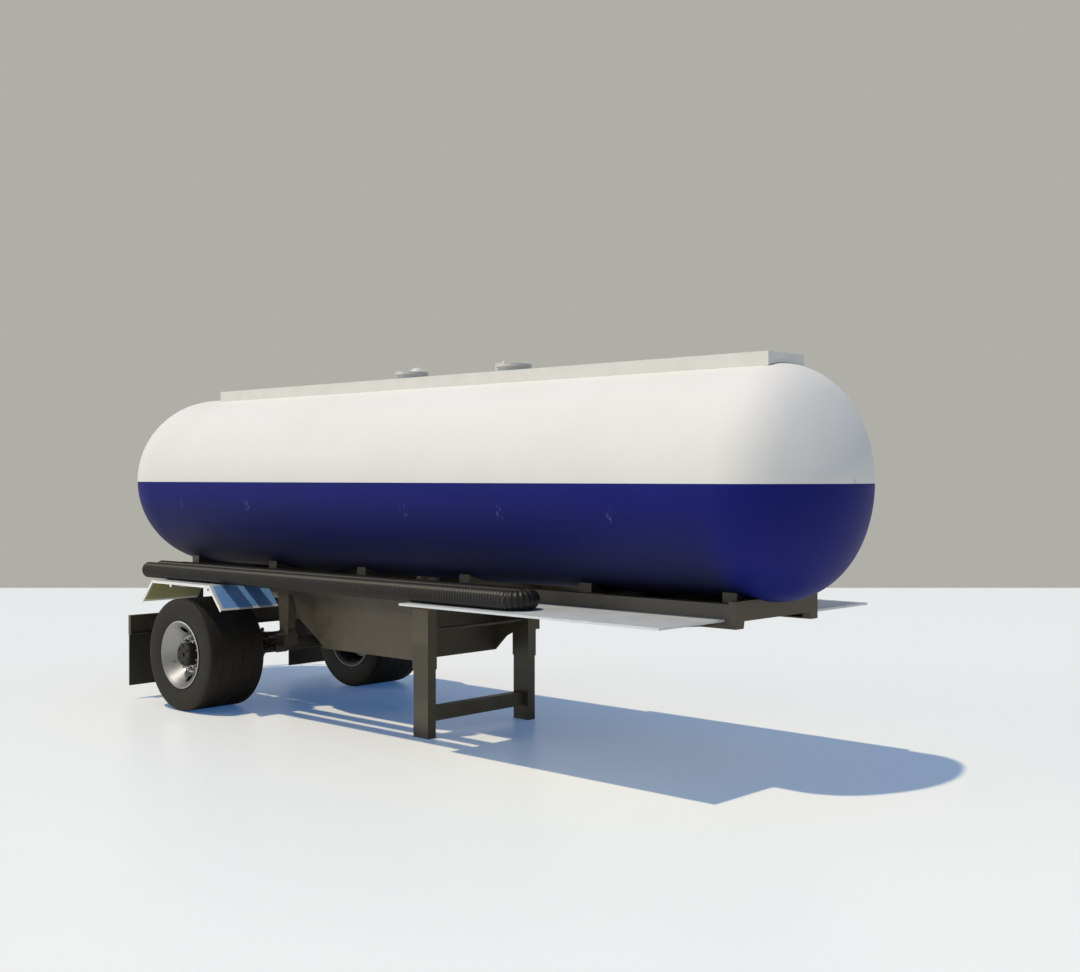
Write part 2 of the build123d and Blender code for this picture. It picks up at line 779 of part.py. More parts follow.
# Wheels: tyre, rim with its disc, hub and brake drum
rim_out_y = tyre_mid_y + rim_half_w
rim_in_y = tyre_mid_y - rim_half_w
seat_out_y = rim_out_y - rim_flange_t
seat_in_y = rim_in_y + rim_flange_t
bead_half = rim_half_w - rim_flange_t - seat_gap
cone_top_y = rim_out_y - 16
cone_slope = (cone_top_y - disc_out_y) / (cone_top_r - cone_foot_r)
cone_back_y = disc_out_y + (rim_barrel_r - cone_foot_r) * cone_slope - disc_t - 4
foot_bend = 17.0
for side_name, side in SIDES.items():
    with BuildPart() as tyre:
        with BuildSketch(wheel_plane(side)):
            with BuildLine():
                for s in (-1, 1):
                    wall = [(tyre_mid_y + s * (tyre_w / 2 - inset), r) for inset, r in tyre_section]
                    Polyline((tyre_mid_y + s * bead_half, bead_r + seat_gap),
                             (tyre_mid_y + s * bead_half, rim_flange_r + 2), wall[0])
                    ThreePointArc(wall[0], wall[1], wall[2])
                    ThreePointArc(wall[2], wall[3], wall[4])
                tread_half = tyre_w / 2 - tyre_section[-1][0]
                Line((tyre_mid_y - tread_half, tyre_r), (tyre_mid_y + tread_half, tyre_r))
                Line((tyre_mid_y - bead_half, bead_r + seat_gap),
                     (tyre_mid_y + bead_half, bead_r + seat_gap))
            make_face()
        revolve(axis=wheel_axis)
    write(tyre, f"tyre_{side_name}")

    with BuildPart() as rim:
        with BuildSketch(wheel_plane(side)):
            with BuildLine():
                bend_start = (disc_out_y, cone_foot_r - foot_bend)
                bend_end = (disc_out_y + foot_bend * cone_slope, cone_foot_r + foot_bend)
                ThreePointArc(bend_start, (disc_out_y + foot_bend / 4, cone_foot_r + 2), bend_end)
                Polyline(bend_start, (disc_out_y, pilot_r), (disc_in_y, pilot_r),
                         (disc_in_y, cone_foot_r + 8))
                Polyline(
                    bend_end, (cone_top_y, cone_top_r), (rim_out_y, 300),
                    (rim_out_y - 3, rim_flange_r), (rim_out_y - 9, rim_flange_r),
                    (seat_out_y, 306), (seat_out_y, bead_r), (seat_out_y - 42, bead_r),
                    (seat_out_y - 62, rim_well_r), (seat_in_y + 62, rim_well_r),
                    (seat_in_y + 42, bead_r), (seat_in_y, bead_r), (seat_in_y, 306),
                    (rim_in_y + 9, rim_flange_r), (rim_in_y + 3, rim_flange_r), (rim_in_y, 300),
                    (rim_in_y + 14, 286), (rim_in_y + 24, 276), (rim_in_y + 70, rim_barrel_r),
                    (cone_back_y, rim_barrel_r), (disc_in_y, cone_foot_r + 8))
            make_face()
        revolve(axis=wheel_axis)
        with BuildSketch(Plane(origin=(axle_x, side * (disc_in_y + disc_t / 2), axle_z),
                               x_dir=(1, 0, 0), z_dir=(0, -1, 0))):
            with PolarLocations(hand_hole_circle_r, hand_hole_count, start_angle=hand_hole_start):
                SlotCenterToCenter(hand_hole_run, 2 * hand_hole_r, rotation=90)
        extrude(amount=rim_out_y - disc_in_y - 20, both=True, mode=Mode.SUBTRACT)
    write(rim, f"rim_{side_name}")

    with BuildPart() as hub:
        with BuildSketch(wheel_plane(side)):
            with BuildLine():
                Polyline(
                    (hub_rear_y, spindle_r + spindle_fit), (hub_rear_y, 85),
                    (disc_in_y - hub_flange_t, 85), (disc_in_y - hub_flange_t, hub_flange_r),
                    (disc_in_y, hub_flange_r), (disc_in_y, pilot_r - seat_gap),
                    (disc_out_y, pilot_r - seat_gap), (disc_out_y + 4, hub_barrel_r),
                    (hub_face_y - 12, hub_barrel_r), (hub_face_y, hub_barrel_r - 12),
                    (hub_face_y, 0), (spindle_end_y + 8, 0),
                    (spindle_end_y + 8, spindle_r + spindle_fit), close=True)
            make_face()
        revolve(axis=wheel_axis)
    write(hub, f"hub_{side_name}")

    drum_web_y = disc_in_y - hub_flange_t
    with BuildPart() as drum:
        with BuildSketch(wheel_plane(side)):
            with BuildLine():
                Polyline(
                    (drum_web_y, 86), (drum_web_y, drum_r - 22), (drum_web_y - 14, drum_r),
                    (drum_open_y + 20, drum_r), (drum_open_y + 20, drum_r + 9),
                    (drum_open_y, drum_r + 9), (drum_open_y, drum_r - drum_wall),
                    (drum_web_y - 22, drum_r - drum_wall), (drum_web_y - 12, drum_r - 28),
                    (drum_web_y - 12, 86), close=True)
            make_face()
        revolve(axis=wheel_axis)
    write(drum, f"drum_{side_name}")

# Fenders: one bent sheet each, with a lip along the outer edge
fender_points = [
    (axle_x - fender_bottom_half, fender_bottom_z),
    (axle_x - fender_top_half, deck_top_z),
    (axle_x + fender_top_half, deck_top_z),
    (axle_x + fender_bottom_half, fender_bottom_z),
]
for side_name, side in SIDES.items():
    with BuildPart() as fender:
        for thick, width in ((fender_t, fender_outer_y - fender_inner_y), (fender_lip, fender_t)):
            with BuildSketch(long_plane(side * fender_outer_y)):
                with BuildLine():
                    Polyline(*fender_points)
                    offset(amount=thick, side=Side.RIGHT)
                make_face()
            extrude(amount=side * width)
    write(fender, f"fender_{side_name}")

# Fender arms: tubes from the rails' webs, with a pad under the sheet
arm_z = deck_top_z - fender_t - 40.0
arm_end_y = fender_outer_y - 90.0
with BuildPart() as fender_arms:
    for side in (RIGHT, LEFT):
        for end in (-1, 1):
            with BuildSketch(long_plane(side * rail_outer_y)):
                with Locations((axle_x + end * arm_x, arm_z)):
                    Circle(arm_r)
            extrude(amount=-side * (arm_end_y - rail_outer_y))
            for y in (fender_inner_y + 60, arm_end_y - 60):
                with BuildSketch(Plane.XY.offset(arm_z)):
                    with Locations((axle_x + end * arm_x, side * y)):
                        Rectangle(50, 40)
                extrude(amount=deck_top_z - fender_t - arm_z)
write(fender_arms, "fender_arms")

# Rear bar on two hangers, with flaps and lamps
with BuildPart() as rear_bar:
    with BuildSketch(cross_plane(bar_x)):
        with Locations((0, (bar_bottom_z + bar_top_z) / 2)):
            Rectangle(2 * bar_half_y, bar_top_z - bar_bottom_z)
    extrude(amount=bar_t)
    with BuildSketch(cross_plane(bar_x + 8)):
        with Locations((0, (bar_bottom_z + bar_top_z) / 2)):
            Rectangle(2 * bar_half_y - 16, bar_top_z - bar_bottom_z - 16)
    extrude(amount=bar_t, mode=Mode.SUBTRACT)
    with BuildSketch(cross_plane(bar_x)):
        for side in (RIGHT, LEFT):
            with Locations((side * spring_y, (bar_top_z + rail_bottom_z) / 2)):
                Rectangle(bar_hanger_w, rail_bottom_z - bar_top_z)
    extrude(amount=bar_t)
write(rear_bar, "rear_bar")

with BuildPart() as mud_flaps:
    for side in (RIGHT, LEFT):
        with BuildSketch(cross_plane(bar_x - flap_t)):
            with Locations((side * (flap_inner_y + flap_outer_y) / 2,
                            (flap_bottom_z + bar_bottom_z + flap_overlap) / 2)):
                Rectangle(flap_outer_y - flap_inner_y,
                          bar_bottom_z + flap_overlap - flap_bottom_z)
        extrude(amount=flap_t)
write(mud_flaps, "mud_flaps")

lamp_z = bar_top_z - lamp_r - 8
with BuildPart() as tail_lamps:
    for side in (RIGHT, LEFT):
        for i in range(lamp_count):
            with BuildSketch(cross_plane(bar_x - lamp_depth)):
                with Locations((side * (lamp_first_y + i * lamp_pitch), lamp_z)):
                    Circle(lamp_r)
            extrude(amount=lamp_depth)
write(tail_lamps, "tail_lamps")

# Spill box: four walls round the walkway, cut to the tank's top
with BuildPart() as spill_box:
    box_mid_x = (box_rear_x + box_front_x) / 2
    box_l = box_front_x - box_rear_x
    with BuildSketch(Plane.XY.offset(tank_z + tank_r / 2)):
        with Locations((box_mid_x, 0)):
            Rectangle(box_l, 2 * box_half_y)
            Rectangle(box_l - 2 * box_wall, 2 * (box_half_y - box_wall), mode=Mode.SUBTRACT)
    extrude(amount=box_top_z - tank_z - tank_r / 2)
    with BuildSketch(cross_plane(box_rear_x - 10)):
        with Locations((0, tank_z)):
            Circle(tank_r + seat_gap)
    extrude(amount=box_l + 20, mode=Mode.SUBTRACT)
write(spill_box, "spill_box")

# Walkway: tread plate inside the spill box, holed for the manholes
with BuildPart() as walkway:
    with BuildSketch(Plane.XY.offset(tread_z)):
        with Locations((box_mid_x, 0)):
            Rectangle(box_l - 2 * box_wall, 2 * (box_half_y - box_wall))
        with Locations(*[(middle, 0) for middle, *dome in manholes.values()]):
            Circle(neck_flange_r + 30, mode=Mode.SUBTRACT)
    extrude(amount=tread_t)
write(walkway, "walkway")

# Manholes: neck with hinge ears, and a domed lid that opens towards the rear
for name, (x, dome_shift, dome_half, dome_rise) in manholes.items():
    pin_x = x - hinge_back
    with BuildPart() as neck:
        with BuildSketch(Plane.XY.offset(tank_z + tank_r / 2)):
            with Locations((x, 0)):
                Circle(neck_r)
        extrude(amount=neck_top_z - tank_z - tank_r / 2)
        with BuildSketch(Plane.XY.offset(neck_top_z - neck_flange_t)):
            with Locations((x, 0)):
                Circle(neck_flange_r)
        extrude(amount=neck_flange_t)
        for s in (-1, 1):
            ear_y = s * (hinge_tongue_w / 2 + 1 + hinge_ear_t / 2)
            with BuildSketch(long_plane(ear_y + hinge_ear_t / 2)):
                with BuildLine():
                    Polyline(
                        (pin_x - hinge_r, hinge_z), (pin_x - hinge_r, neck_top_z - 30),
                        (x - neck_r + 8, neck_top_z - 60), (x - neck_r + 8, neck_top_z - 6),
                        (pin_x + hinge_r, neck_top_z - 6), (pin_x + hinge_r, hinge_z))
                    ThreePointArc((pin_x + hinge_r, hinge_z), (pin_x, hinge_z + hinge_r),
                                  (pin_x - hinge_r, hinge_z))
                make_face()
            extrude(amount=hinge_ear_t)
        with BuildSketch(long_plane(hinge_tongue_w / 2 + 1 + hinge_ear_t)):
            with Locations((pin_x, hinge_z)):
                Circle(hinge_pin_r)
        extrude(amount=hinge_tongue_w + 2 + 2 * hinge_ear_t)
        with BuildSketch(Plane.XY.offset(tank_z + tank_r / 2)):
            with Locations((x, 0)):
                Circle(neck_r - neck_wall)
        extrude(amount=tank_r, mode=Mode.SUBTRACT)
        with BuildSketch(cross_plane(x - 2 * neck_r)):
            with Locations((0, tank_z)):
                Circle(tank_r + seat_gap)
        extrude(amount=4 * neck_r, mode=Mode.SUBTRACT)
    write(neck, f"manhole_neck_{name}")

    lid_bottom_z = neck_top_z + seat_gap
    dome_start_z = lid_bottom_z + lid_rim_t
    dome_r = (dome_half ** 2 + dome_rise ** 2) / (2 * dome_rise)
    dome_mid = asin(dome_half / dome_r) / 2
    dome_x = x + dome_shift
    with BuildPart() as lid:
        with BuildSketch(Plane.XY.offset(lid_bottom_z)):
            with Locations((x, 0)):
                Circle(lid_r)
        extrude(amount=lid_rim_t)
        with BuildSketch(long_plane(0)):
            with BuildLine():
                top = (dome_x, dome_start_z + dome_rise)
                foot = (dome_x + dome_half, dome_start_z)
                Polyline(top, (dome_x, lid_bottom_z + 4), (dome_x + dome_half, lid_bottom_z + 4),
                         foot)
                ThreePointArc(foot, (dome_x + dome_r * sin(dome_mid),
                                     top[1] - dome_r * (1 - cos(dome_mid))), top)
            make_face()
        revolve(axis=Axis((dome_x, 0, 0), (0, 0, 1)))
        with BuildSketch(long_plane(hinge_tongue_w / 2)):
            with BuildLine():
                Polyline((pin_x, hinge_z + hinge_r), (x - lid_r + 20, hinge_z + hinge_r),
                         (x - lid_r + 20, lid_bottom_z + 2), (pin_x + hinge_r, lid_bottom_z + 2),
                         (pin_x, hinge_z - hinge_r))
                ThreePointArc((pin_x, hinge_z - hinge_r), (pin_x - hinge_r, hinge_z),
                              (pin_x, hinge_z + hinge_r))
            make_face()
            with Locations((pin_x, hinge_z)):
                Circle(hinge_pin_r + 0.05, mode=Mode.SUBTRACT)
        extrude(amount=hinge_tongue_w)
    write(lid, f"manhole_lid_{name}")

# Hoses: two straight runs joined by a half turn, with a cuff on each end
hose_z = deck_top_z + seat_gap + hose_r
for side_name, side in SIDES.items():
    outer_y = side * hose_outer_y
    inner_y = side * (hose_outer_y - 2 * hose_fold_r)
    fold_y = side * (hose_outer_y - hose_fold_r)
    with BuildPart() as hose:
        for y, end_x in ((outer_y, hose_outer_end_x), (inner_y, hose_inner_end_x)):
            with BuildSketch(cross_plane(end_x + cuff_len)):
                with Locations((y, hose_z)):
                    Circle(hose_r)
            extrude(amount=hose_fold_x - end_x - cuff_len)
            with BuildSketch(cross_plane(end_x)):
                with Locations((y, hose_z)):
                    Circle(cuff_r)
            extrude(amount=cuff_len)
        with BuildSketch(cross_plane(hose_fold_x)):
            with Locations((outer_y, hose_z)):
                Circle(hose_r)
        revolve(axis=Axis((hose_fold_x, fold_y, hose_z), (0, 0, -side)), revolution_arc=180)
    write(hose, f"hose_{side_name}")

# Outlet: sump and pipe to the rear, then the valve and its flange
with BuildPart() as outlet_pipe:
    with BuildSketch(Plane.XY.offset(pipe_z + pipe_bend_r)):
        with Locations((pipe_x, 0)):
            Circle(pipe_r)
    extrude(amount=tank_z - tank_r - pipe_z - pipe_bend_r + 20)
    with BuildSketch(Plane.XY.offset(pipe_z + pipe_bend_r)):
        with Locations((pipe_x, 0)):
            Circle(pipe_r)
    revolve(axis=Axis((pipe_x - pipe_bend_r, 0, pipe_z + pipe_bend_r), (0, 1, 0)),
            revolution_arc=90)
    with BuildSketch(cross_plane(pipe_end_x)):
        with Locations((0, pipe_z)):
            Circle(pipe_r)
    extrude(amount=pipe_x - pipe_bend_r - pipe_end_x)
    with BuildSketch(Plane.XY.offset(tank_z - tank_r - 40)):
        with Locations((pipe_x, 0)):
            Circle(sump_r)
    extrude(amount=60)
    with BuildSketch(cross_plane(pipe_x - 2 * sump_r)):
        with Locations((0, tank_z)):
            Circle(tank_r + seat_gap)
    extrude(amount=4 * sump_r, mode=Mode.SUBTRACT)
write(outlet_pipe, "outlet_pipe")

valve_end_x = pipe_end_x - valve_len - valve_neck_len - flange_t
with BuildPart() as outlet_valve:
    with BuildSketch(long_plane(0)):
        with BuildLine():
            Polyline(
                (pipe_end_x, pipe_z), (pipe_end_x, pipe_z + valve_r - 8),
                (pipe_end_x - 8, pipe_z + valve_r), (pipe_end_x - valve_len + 8, pipe_z + valve_r),
                (pipe_end_x - valve_len, pipe_z + valve_r - 8),
                (pipe_end_x - valve_len, pipe_z + valve_neck_r),
                (valve_end_x + flange_t, pipe_z + valve_neck_r),
                (valve_end_x + flange_t, pipe_z + flange_r), (valve_end_x, pipe_z + flange_r),
                (valve_end_x, pipe_z + outlet_bore_r),
                (pipe_end_x - valve_len + 20, pipe_z + outlet_bore_r),
                (pipe_end_x - valve_len + 20, pipe_z), close=True)
        make_face()
    revolve(axis=Axis((0, 0, pipe_z), (1, 0, 0)))
    with BuildSketch(cross_plane(valve_end_x)):
        with Locations((0, pipe_z)):
            with PolarLocations(flange_hole_circle_r, flange_hole_count, start_angle=22.5):
                Circle(flange_hole_r)
    extrude(amount=flange_t, mode=Mode.SUBTRACT)
    lever_x = pipe_end_x - valve_len / 2
    with BuildSketch(long_plane(-valve_r + 10)):
        with Locations((lever_x, pipe_z)):
            Rectangle(2 * lever_hub_r, 1.4 * lever_hub_r)
    extrude(amount=lever_reach + 10)
    with BuildSketch(long_plane(-valve_r - lever_reach)):
        with Locations((lever_x + lever_len / 2, pipe_z)):
            SlotOverall(lever_len + 2 * lever_hub_r, lever_w)
    extrude(amount=lever_t)
write(outlet_valve, "outlet_valve")

# Pipe straps: a ring round the pipe and a web up to each rear cradle
with BuildPart() as pipe_straps:
    for i in range(cradle_count // 2):
        with BuildSketch(cross_plane(cradle_rear_x + i * cradle_pitch + strap_start)):
            with Locations((0, pipe_z)):
                Circle(pipe_r + seat_gap + strap_t)
            with Locations((0, (pipe_z + cradle_bottom_z) / 2)):
                Rectangle(strap_web, cradle_bottom_z - pipe_z)
            with Locations((0, pipe_z)):
                Circle(pipe_r + seat_gap, mode=Mode.SUBTRACT)
        extrude(amount=strap_len)
write(pipe_straps, "pipe_straps")

# Air reservoir with dished ends, hung by two straps from a bar across the subframe
reservoir_axis = Axis((reservoir_x, 0, reservoir_z), (0, 1, 0))
with BuildPart() as air_reservoir:
    with BuildSketch(Plane(origin=(reservoir_x, 0, reservoir_z), x_dir=(0, 1, 0), z_dir=(1, 0, 0))):
        with BuildLine():
            for s in (-1, 1):
                edge = (s * (reservoir_half - reservoir_dish), reservoir_r)
                tip = (s * reservoir_half, 0)
                bulge = (reservoir_r ** 2 + reservoir_dish ** 2) / (2 * reservoir_dish)
                half_angle = asin(reservoir_r / bulge) / 2
                ThreePointArc(edge, (s * (reservoir_half - bulge * (1 - cos(half_angle))),
                                     bulge * sin(half_angle)), tip)
            Line((reservoir_dish - reservoir_half, reservoir_r),
                 (reservoir_half - reservoir_dish, reservoir_r))
            Line((-reservoir_half, 0), (reservoir_half, 0))
        make_face()
    revolve(axis=reservoir_axis)
write(air_reservoir, "air_reservoir")

with BuildPart() as reservoir_hanger:
    with BuildSketch(long_plane(plate_y)):
        with Locations((reservoir_x, cross_bar_z + cross_bar_w / 2)):
            Rectangle(cross_bar_w, cross_bar_w)
    extrude(amount=2 * plate_y)
    for side in (RIGHT, LEFT):
        with BuildSketch(long_plane(side * reservoir_strap_y + reservoir_strap_len / 2)):
            with Locations((reservoir_x, reservoir_z)):
                Circle(reservoir_r + seat_gap + strap_t)
            with Locations((reservoir_x, (reservoir_z + cross_bar_z) / 2)):
                Rectangle(strap_web, cross_bar_z - reservoir_z + 2)
            with Locations((reservoir_x, reservoir_z)):
                Circle(reservoir_r + seat_gap, mode=Mode.SUBTRACT)
        extrude(amount=reservoir_strap_len)
write(reservoir_hanger, "reservoir_hanger")

# Rear ladder: two stringers bent over the head, rungs, and stand-offs cut to the head
ladder_x = tank_rear_x - ladder_arc_r
rung_angle = ladder_rung_pitch / ladder_arc_r
with BuildPart() as rear_ladder:
    for s in (-1, 1):
        y = ladder_mid_y + s * ladder_half_w
        for angle in ladder_pad_angles:
            pad_plane = Plane(origin=(tank_rear_x, y, tank_z), x_dir=(0, 1, 0),
                              z_dir=(-cos(angle), 0, sin(angle)))
            with BuildSketch(pad_plane.offset(sqrt(tank_r ** 2 - y ** 2) - ladder_tube_r)):
                Rectangle(8, 40)
            extrude(amount=ladder_arc_r - sqrt(tank_r ** 2 - y ** 2) + ladder_tube_r)
    with Locations((tank_rear_x, 0, tank_z)):
        Sphere(tank_r + seat_gap, mode=Mode.SUBTRACT)
    for s in (-1, 1):
        y = ladder_mid_y + s * ladder_half_w
        with BuildSketch(Plane.XY.offset(ladder_bottom_z)):
            with Locations((ladder_x, y)):
                Circle(ladder_tube_r)
        extrude(amount=tank_z - ladder_bottom_z)
        with BuildSketch(Plane.XY.offset(tank_z)):
            with Locations((ladder_x, y)):
                Circle(ladder_tube_r)
        revolve(axis=Axis((tank_rear_x, y, tank_z), (0, 1, 0)), revolution_arc=ladder_top_angle)
    rungs = [(ladder_x, tank_z - i * ladder_rung_pitch) for i in range(ladder_rungs_below + 1)]
    for i in range(1, ladder_rungs_above + 1):
        rungs.append((tank_rear_x - ladder_arc_r * cos(i * rung_angle),
                      tank_z + ladder_arc_r * sin(i * rung_angle)))
    for rung in rungs:
        with BuildSketch(long_plane(ladder_mid_y + ladder_half_w)):
            with Locations(rung):
                Circle(ladder_rung_r)
        extrude(amount=2 * ladder_half_w)
write(rear_ladder, "rear_ladder")
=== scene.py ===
from math import cos, pi, radians, sin

import bpy
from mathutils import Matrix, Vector


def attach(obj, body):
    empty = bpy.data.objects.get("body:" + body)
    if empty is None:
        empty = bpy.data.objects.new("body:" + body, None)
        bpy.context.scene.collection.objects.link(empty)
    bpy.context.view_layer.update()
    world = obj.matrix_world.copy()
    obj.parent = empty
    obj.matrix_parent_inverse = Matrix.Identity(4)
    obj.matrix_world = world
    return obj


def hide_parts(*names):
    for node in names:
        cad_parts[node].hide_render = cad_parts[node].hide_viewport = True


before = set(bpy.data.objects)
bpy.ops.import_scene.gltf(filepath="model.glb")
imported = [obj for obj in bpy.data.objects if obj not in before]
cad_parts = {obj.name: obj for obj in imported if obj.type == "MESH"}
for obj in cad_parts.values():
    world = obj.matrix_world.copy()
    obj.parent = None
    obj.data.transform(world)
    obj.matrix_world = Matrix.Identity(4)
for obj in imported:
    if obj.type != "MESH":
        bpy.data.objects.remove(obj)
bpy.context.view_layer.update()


# The tank is rolled steel sheet with pressed heads, sprayed white above and deep blue below.
# The two-pack enamel has aged to a satin, dulled by a film of road dust down the belly, where
# painted shade darkens the blue in patches; faint pale scuffs show at even steps along the blue.
def colour(hex_text):
    """Turns an sRGB hex colour into linear red, green, blue and alpha."""
    values = [int(hex_text[i:i + 2], 16) / 255 for i in (1, 3, 5)]
    return [v / 12.92 if v <= 0.04045 else ((v + 0.055) / 1.055) ** 2.4 for v in values] + [1.0]


def set_node(owner, node, settings=None, links=None):
    """Sets a node's properties and sockets, and links the sockets that feed it."""
    for key, value in (settings or {}).items():
        if isinstance(key, str) and hasattr(node, key):
            setattr(node, key, value)
        else:
            node.inputs[key].default_value = value
    for key, socket in (links or {}).items():
        owner.node_tree.links.new(socket, node.inputs[key])
    return node


def add_node(owner, kind, settings=None, links=None):
    """Adds one node to a material or the sky, with its settings and the sockets that feed it."""
    return set_node(owner, owner.node_tree.nodes.new(kind), settings, links)


def new_material(name):
    """Starts a material and returns it with its surface shader and its object coordinates."""
    material = bpy.data.materials.new(name)
    material.use_nodes = True
    nodes = material.node_tree.nodes
    place = nodes.new("ShaderNodeTexCoord").outputs["Object"]
    return material, nodes["Principled BSDF"], place


def give_material(node_names, material):
    """Gives the carried-over pieces of these names their material."""
    for node_name in node_names:
        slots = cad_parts[node_name].data.materials
        slots.clear()
        slots.append(material)


tank_line_z = 2.120
belly_shade_top_z, belly_shade_full_z = 1.98, 1.42
head_edge_x, barrel_edge_x = 3.62, 3.40
scuff_x, scuff_z = -2.795, 1.900
scuff_pitch = 1.096
scuff_end_x, scuff_full_x = 0.055, 0.02
scuff_end_z, scuff_full_z = 0.07, 0.03
enamel, shader, place = new_material("two_colour_satin_enamel")
split = add_node(enamel, "ShaderNodeSeparateXYZ", links={0: place})
below = add_node(enamel, "ShaderNodeMath", {"operation": "LESS_THAN", 1: tank_line_z},
                 {0: split.outputs["Z"]})
film = add_node(enamel, "ShaderNodeTexNoise", {"Scale": 1.4, "Detail": 6.0, "Roughness": 0.6},
                {"Vector": place})
white = add_node(enamel, "ShaderNodeMix",
                 {"data_type": "RGBA", 6: colour("#F0EFEB"), 7: colour("#E6E4DE")},
                 {0: film.outputs["Fac"]})
blue = add_node(enamel, "ShaderNodeMix",
                {"data_type": "RGBA", 6: colour("#101A78"), 7: colour("#0D1668")},
                {0: film.outputs["Fac"]})
# Painted shade: the blue darkens in patches towards the belly of the barrel but not on the head; the
# same mask raises the roughness as dust.
low = add_node(enamel, "ShaderNodeMapRange", {"From Min": belly_shade_top_z, "From Max": belly_shade_full_z},
               {"Value": split.outputs["Z"]})
along = add_node(enamel, "ShaderNodeMapRange",
                 {"From Min": head_edge_x, "From Max": barrel_edge_x},
                 {"Value": split.outputs["X"]})
belly_shade_mask = add_node(enamel, "ShaderNodeMath", {"operation": "MULTIPLY"},
                 {0: low.outputs[0], 1: along.outputs[0]})
patchy = add_node(enamel, "ShaderNodeMath", {"operation": "MULTIPLY_ADD", 1: 0.5, 2: 0.55},
                  {0: film.outputs["Fac"]})
belly_shade_and_dust = add_node(enamel, "ShaderNodeMath", {"operation": "MULTIPLY"},
                  {0: belly_shade_mask.outputs[0], 1: patchy.outputs[0]})
painted_belly_shade = add_node(enamel, "ShaderNodeMix", {"data_type": "RGBA", 7: colour("#23263A")},
                 {0: belly_shade_and_dust.outputs[0], 6: blue.outputs[2]})
from_first = add_node(enamel, "ShaderNodeMath", {"operation": "SUBTRACT", 1: scuff_x},
                      {0: split.outputs["X"]})
step = add_node(enamel, "ShaderNodeMath", {"operation": "PINGPONG", 1: scuff_pitch / 2},
                {0: from_first.outputs[0]})
near_x = add_node(enamel, "ShaderNodeMapRange", {"From Min": scuff_end_x, "From Max": scuff_full_x},
                  {"Value": step.outputs[0]})
on_barrel = add_node(enamel, "ShaderNodeMath", {"operation": "MULTIPLY"},
                     {0: near_x.outputs[0], 1: along.outputs[0]})
off_z = add_node(enamel, "ShaderNodeMath", {"operation": "SUBTRACT", 1: scuff_z},
                 {0: split.outputs["Z"]})
far_z = add_node(enamel, "ShaderNodeMath", {"operation": "ABSOLUTE"}, {0: off_z.outputs[0]})
near_z = add_node(enamel, "ShaderNodeMapRange", {"From Min": scuff_end_z, "From Max": scuff_full_z},
                  {"Value": far_z.outputs[0]})
drawn = add_node(enamel, "ShaderNodeMapping", {"Scale": (1.0, 1.0, 0.22)}, {"Vector": place})
streaks = add_node(enamel, "ShaderNodeTexNoise", {"Scale": 42.0, "Detail": 3.0},
                   {"Vector": drawn.outputs[0]})
strokes = add_node(enamel, "ShaderNodeMapRange", {"From Min": 0.56, "From Max": 0.68, "To Max": 0.4},
                   {"Value": streaks.outputs["Fac"]})
in_band = add_node(enamel, "ShaderNodeMath", {"operation": "MULTIPLY"},
                   {0: on_barrel.outputs[0], 1: near_z.outputs[0]})
rubbed = add_node(enamel, "ShaderNodeMath", {"operation": "MULTIPLY"},
                  {0: in_band.outputs[0], 1: strokes.outputs[0]})
scuffed = add_node(enamel, "ShaderNodeMix", {"data_type": "RGBA", 7: colour("#7C84B8")},
                   {0: rubbed.outputs[0], 6: painted_belly_shade.outputs[2]})
paint = add_node(enamel, "ShaderNodeMix", {"data_type": "RGBA"},
                 {0: below.outputs[0], 6: white.outputs[2], 7: scuffed.outputs[2]})
satin = add_node(enamel, "ShaderNodeMapRange", {"To Min": 0.55, "To Max": 0.7},
                 {"Value": belly_shade_and_dust.outputs[0]})
peel = add_node(enamel, "ShaderNodeTexNoise", {"Scale": 160.0, "Detail": 1.0}, {"Vector": place})
skin = add_node(enamel, "ShaderNodeBump", {"Strength": 0.03, "Distance": 0.001},
                {"Height": peel.outputs["Fac"]})
set_node(enamel, shader, {"Specular IOR Level": 0.15},
         {"Base Color": paint.outputs[2], "Roughness": satin.outputs[0], "Normal": skin.outputs[0]})
give_material(("tank_barrel", "tank_front_head", "tank_rear_head"), enamel)


# The spill box and the manhole necks are welded steel plate, sprayed pale grey.
# Dust lies on them, thicker in blotches, and dulls the paint.
box_paint, shader, place = new_material("pale_grey_spray_paint")
dust = add_node(box_paint, "ShaderNodeTexNoise", {"Scale": 5.0, "Detail": 8.0}, {"Vector": place})
tint = add_node(box_paint, "ShaderNodeMix",
                {"data_type": "RGBA", 6: colour("#F0EDE4"), 7: colour("#DEDAD0")},
                {0: dust.outputs["Fac"]})
set_node(box_paint, shader, {"Roughness": 0.5}, {"Base Color": tint.outputs[2]})
give_material(("spill_box", "manhole_neck_front", "manhole_neck_rear"), box_paint)


# The walkway is aluminium tread plate, rolled with raised lugs in staggered rows.
# A lug is about 33 mm long and 17 mm wide, and stands up so little that the plate looks plain.
lug_rows = {"Scale": 18.0, "Brick Width": 0.6, "Row Height": 0.3,
            "Mortar Size": 0.35, "Mortar Smooth": 0.6}
tread_plate, shader, place = new_material("rolled_aluminium_tread_plate")
lugs = add_node(tread_plate, "ShaderNodeTexBrick", lug_rows, {"Vector": place})
raised = add_node(tread_plate, "ShaderNodeBump", {"Strength": 0.5, "Distance": 0.002, "invert": True},
                  {"Height": lugs.outputs["Fac"]})
set_node(tread_plate, shader, {"Base Color": colour("#B9BABA"), "Metallic": 1.0, "Roughness": 0.42},
         {"Normal": raised.outputs[0]})
give_material(("walkway",), tread_plate)


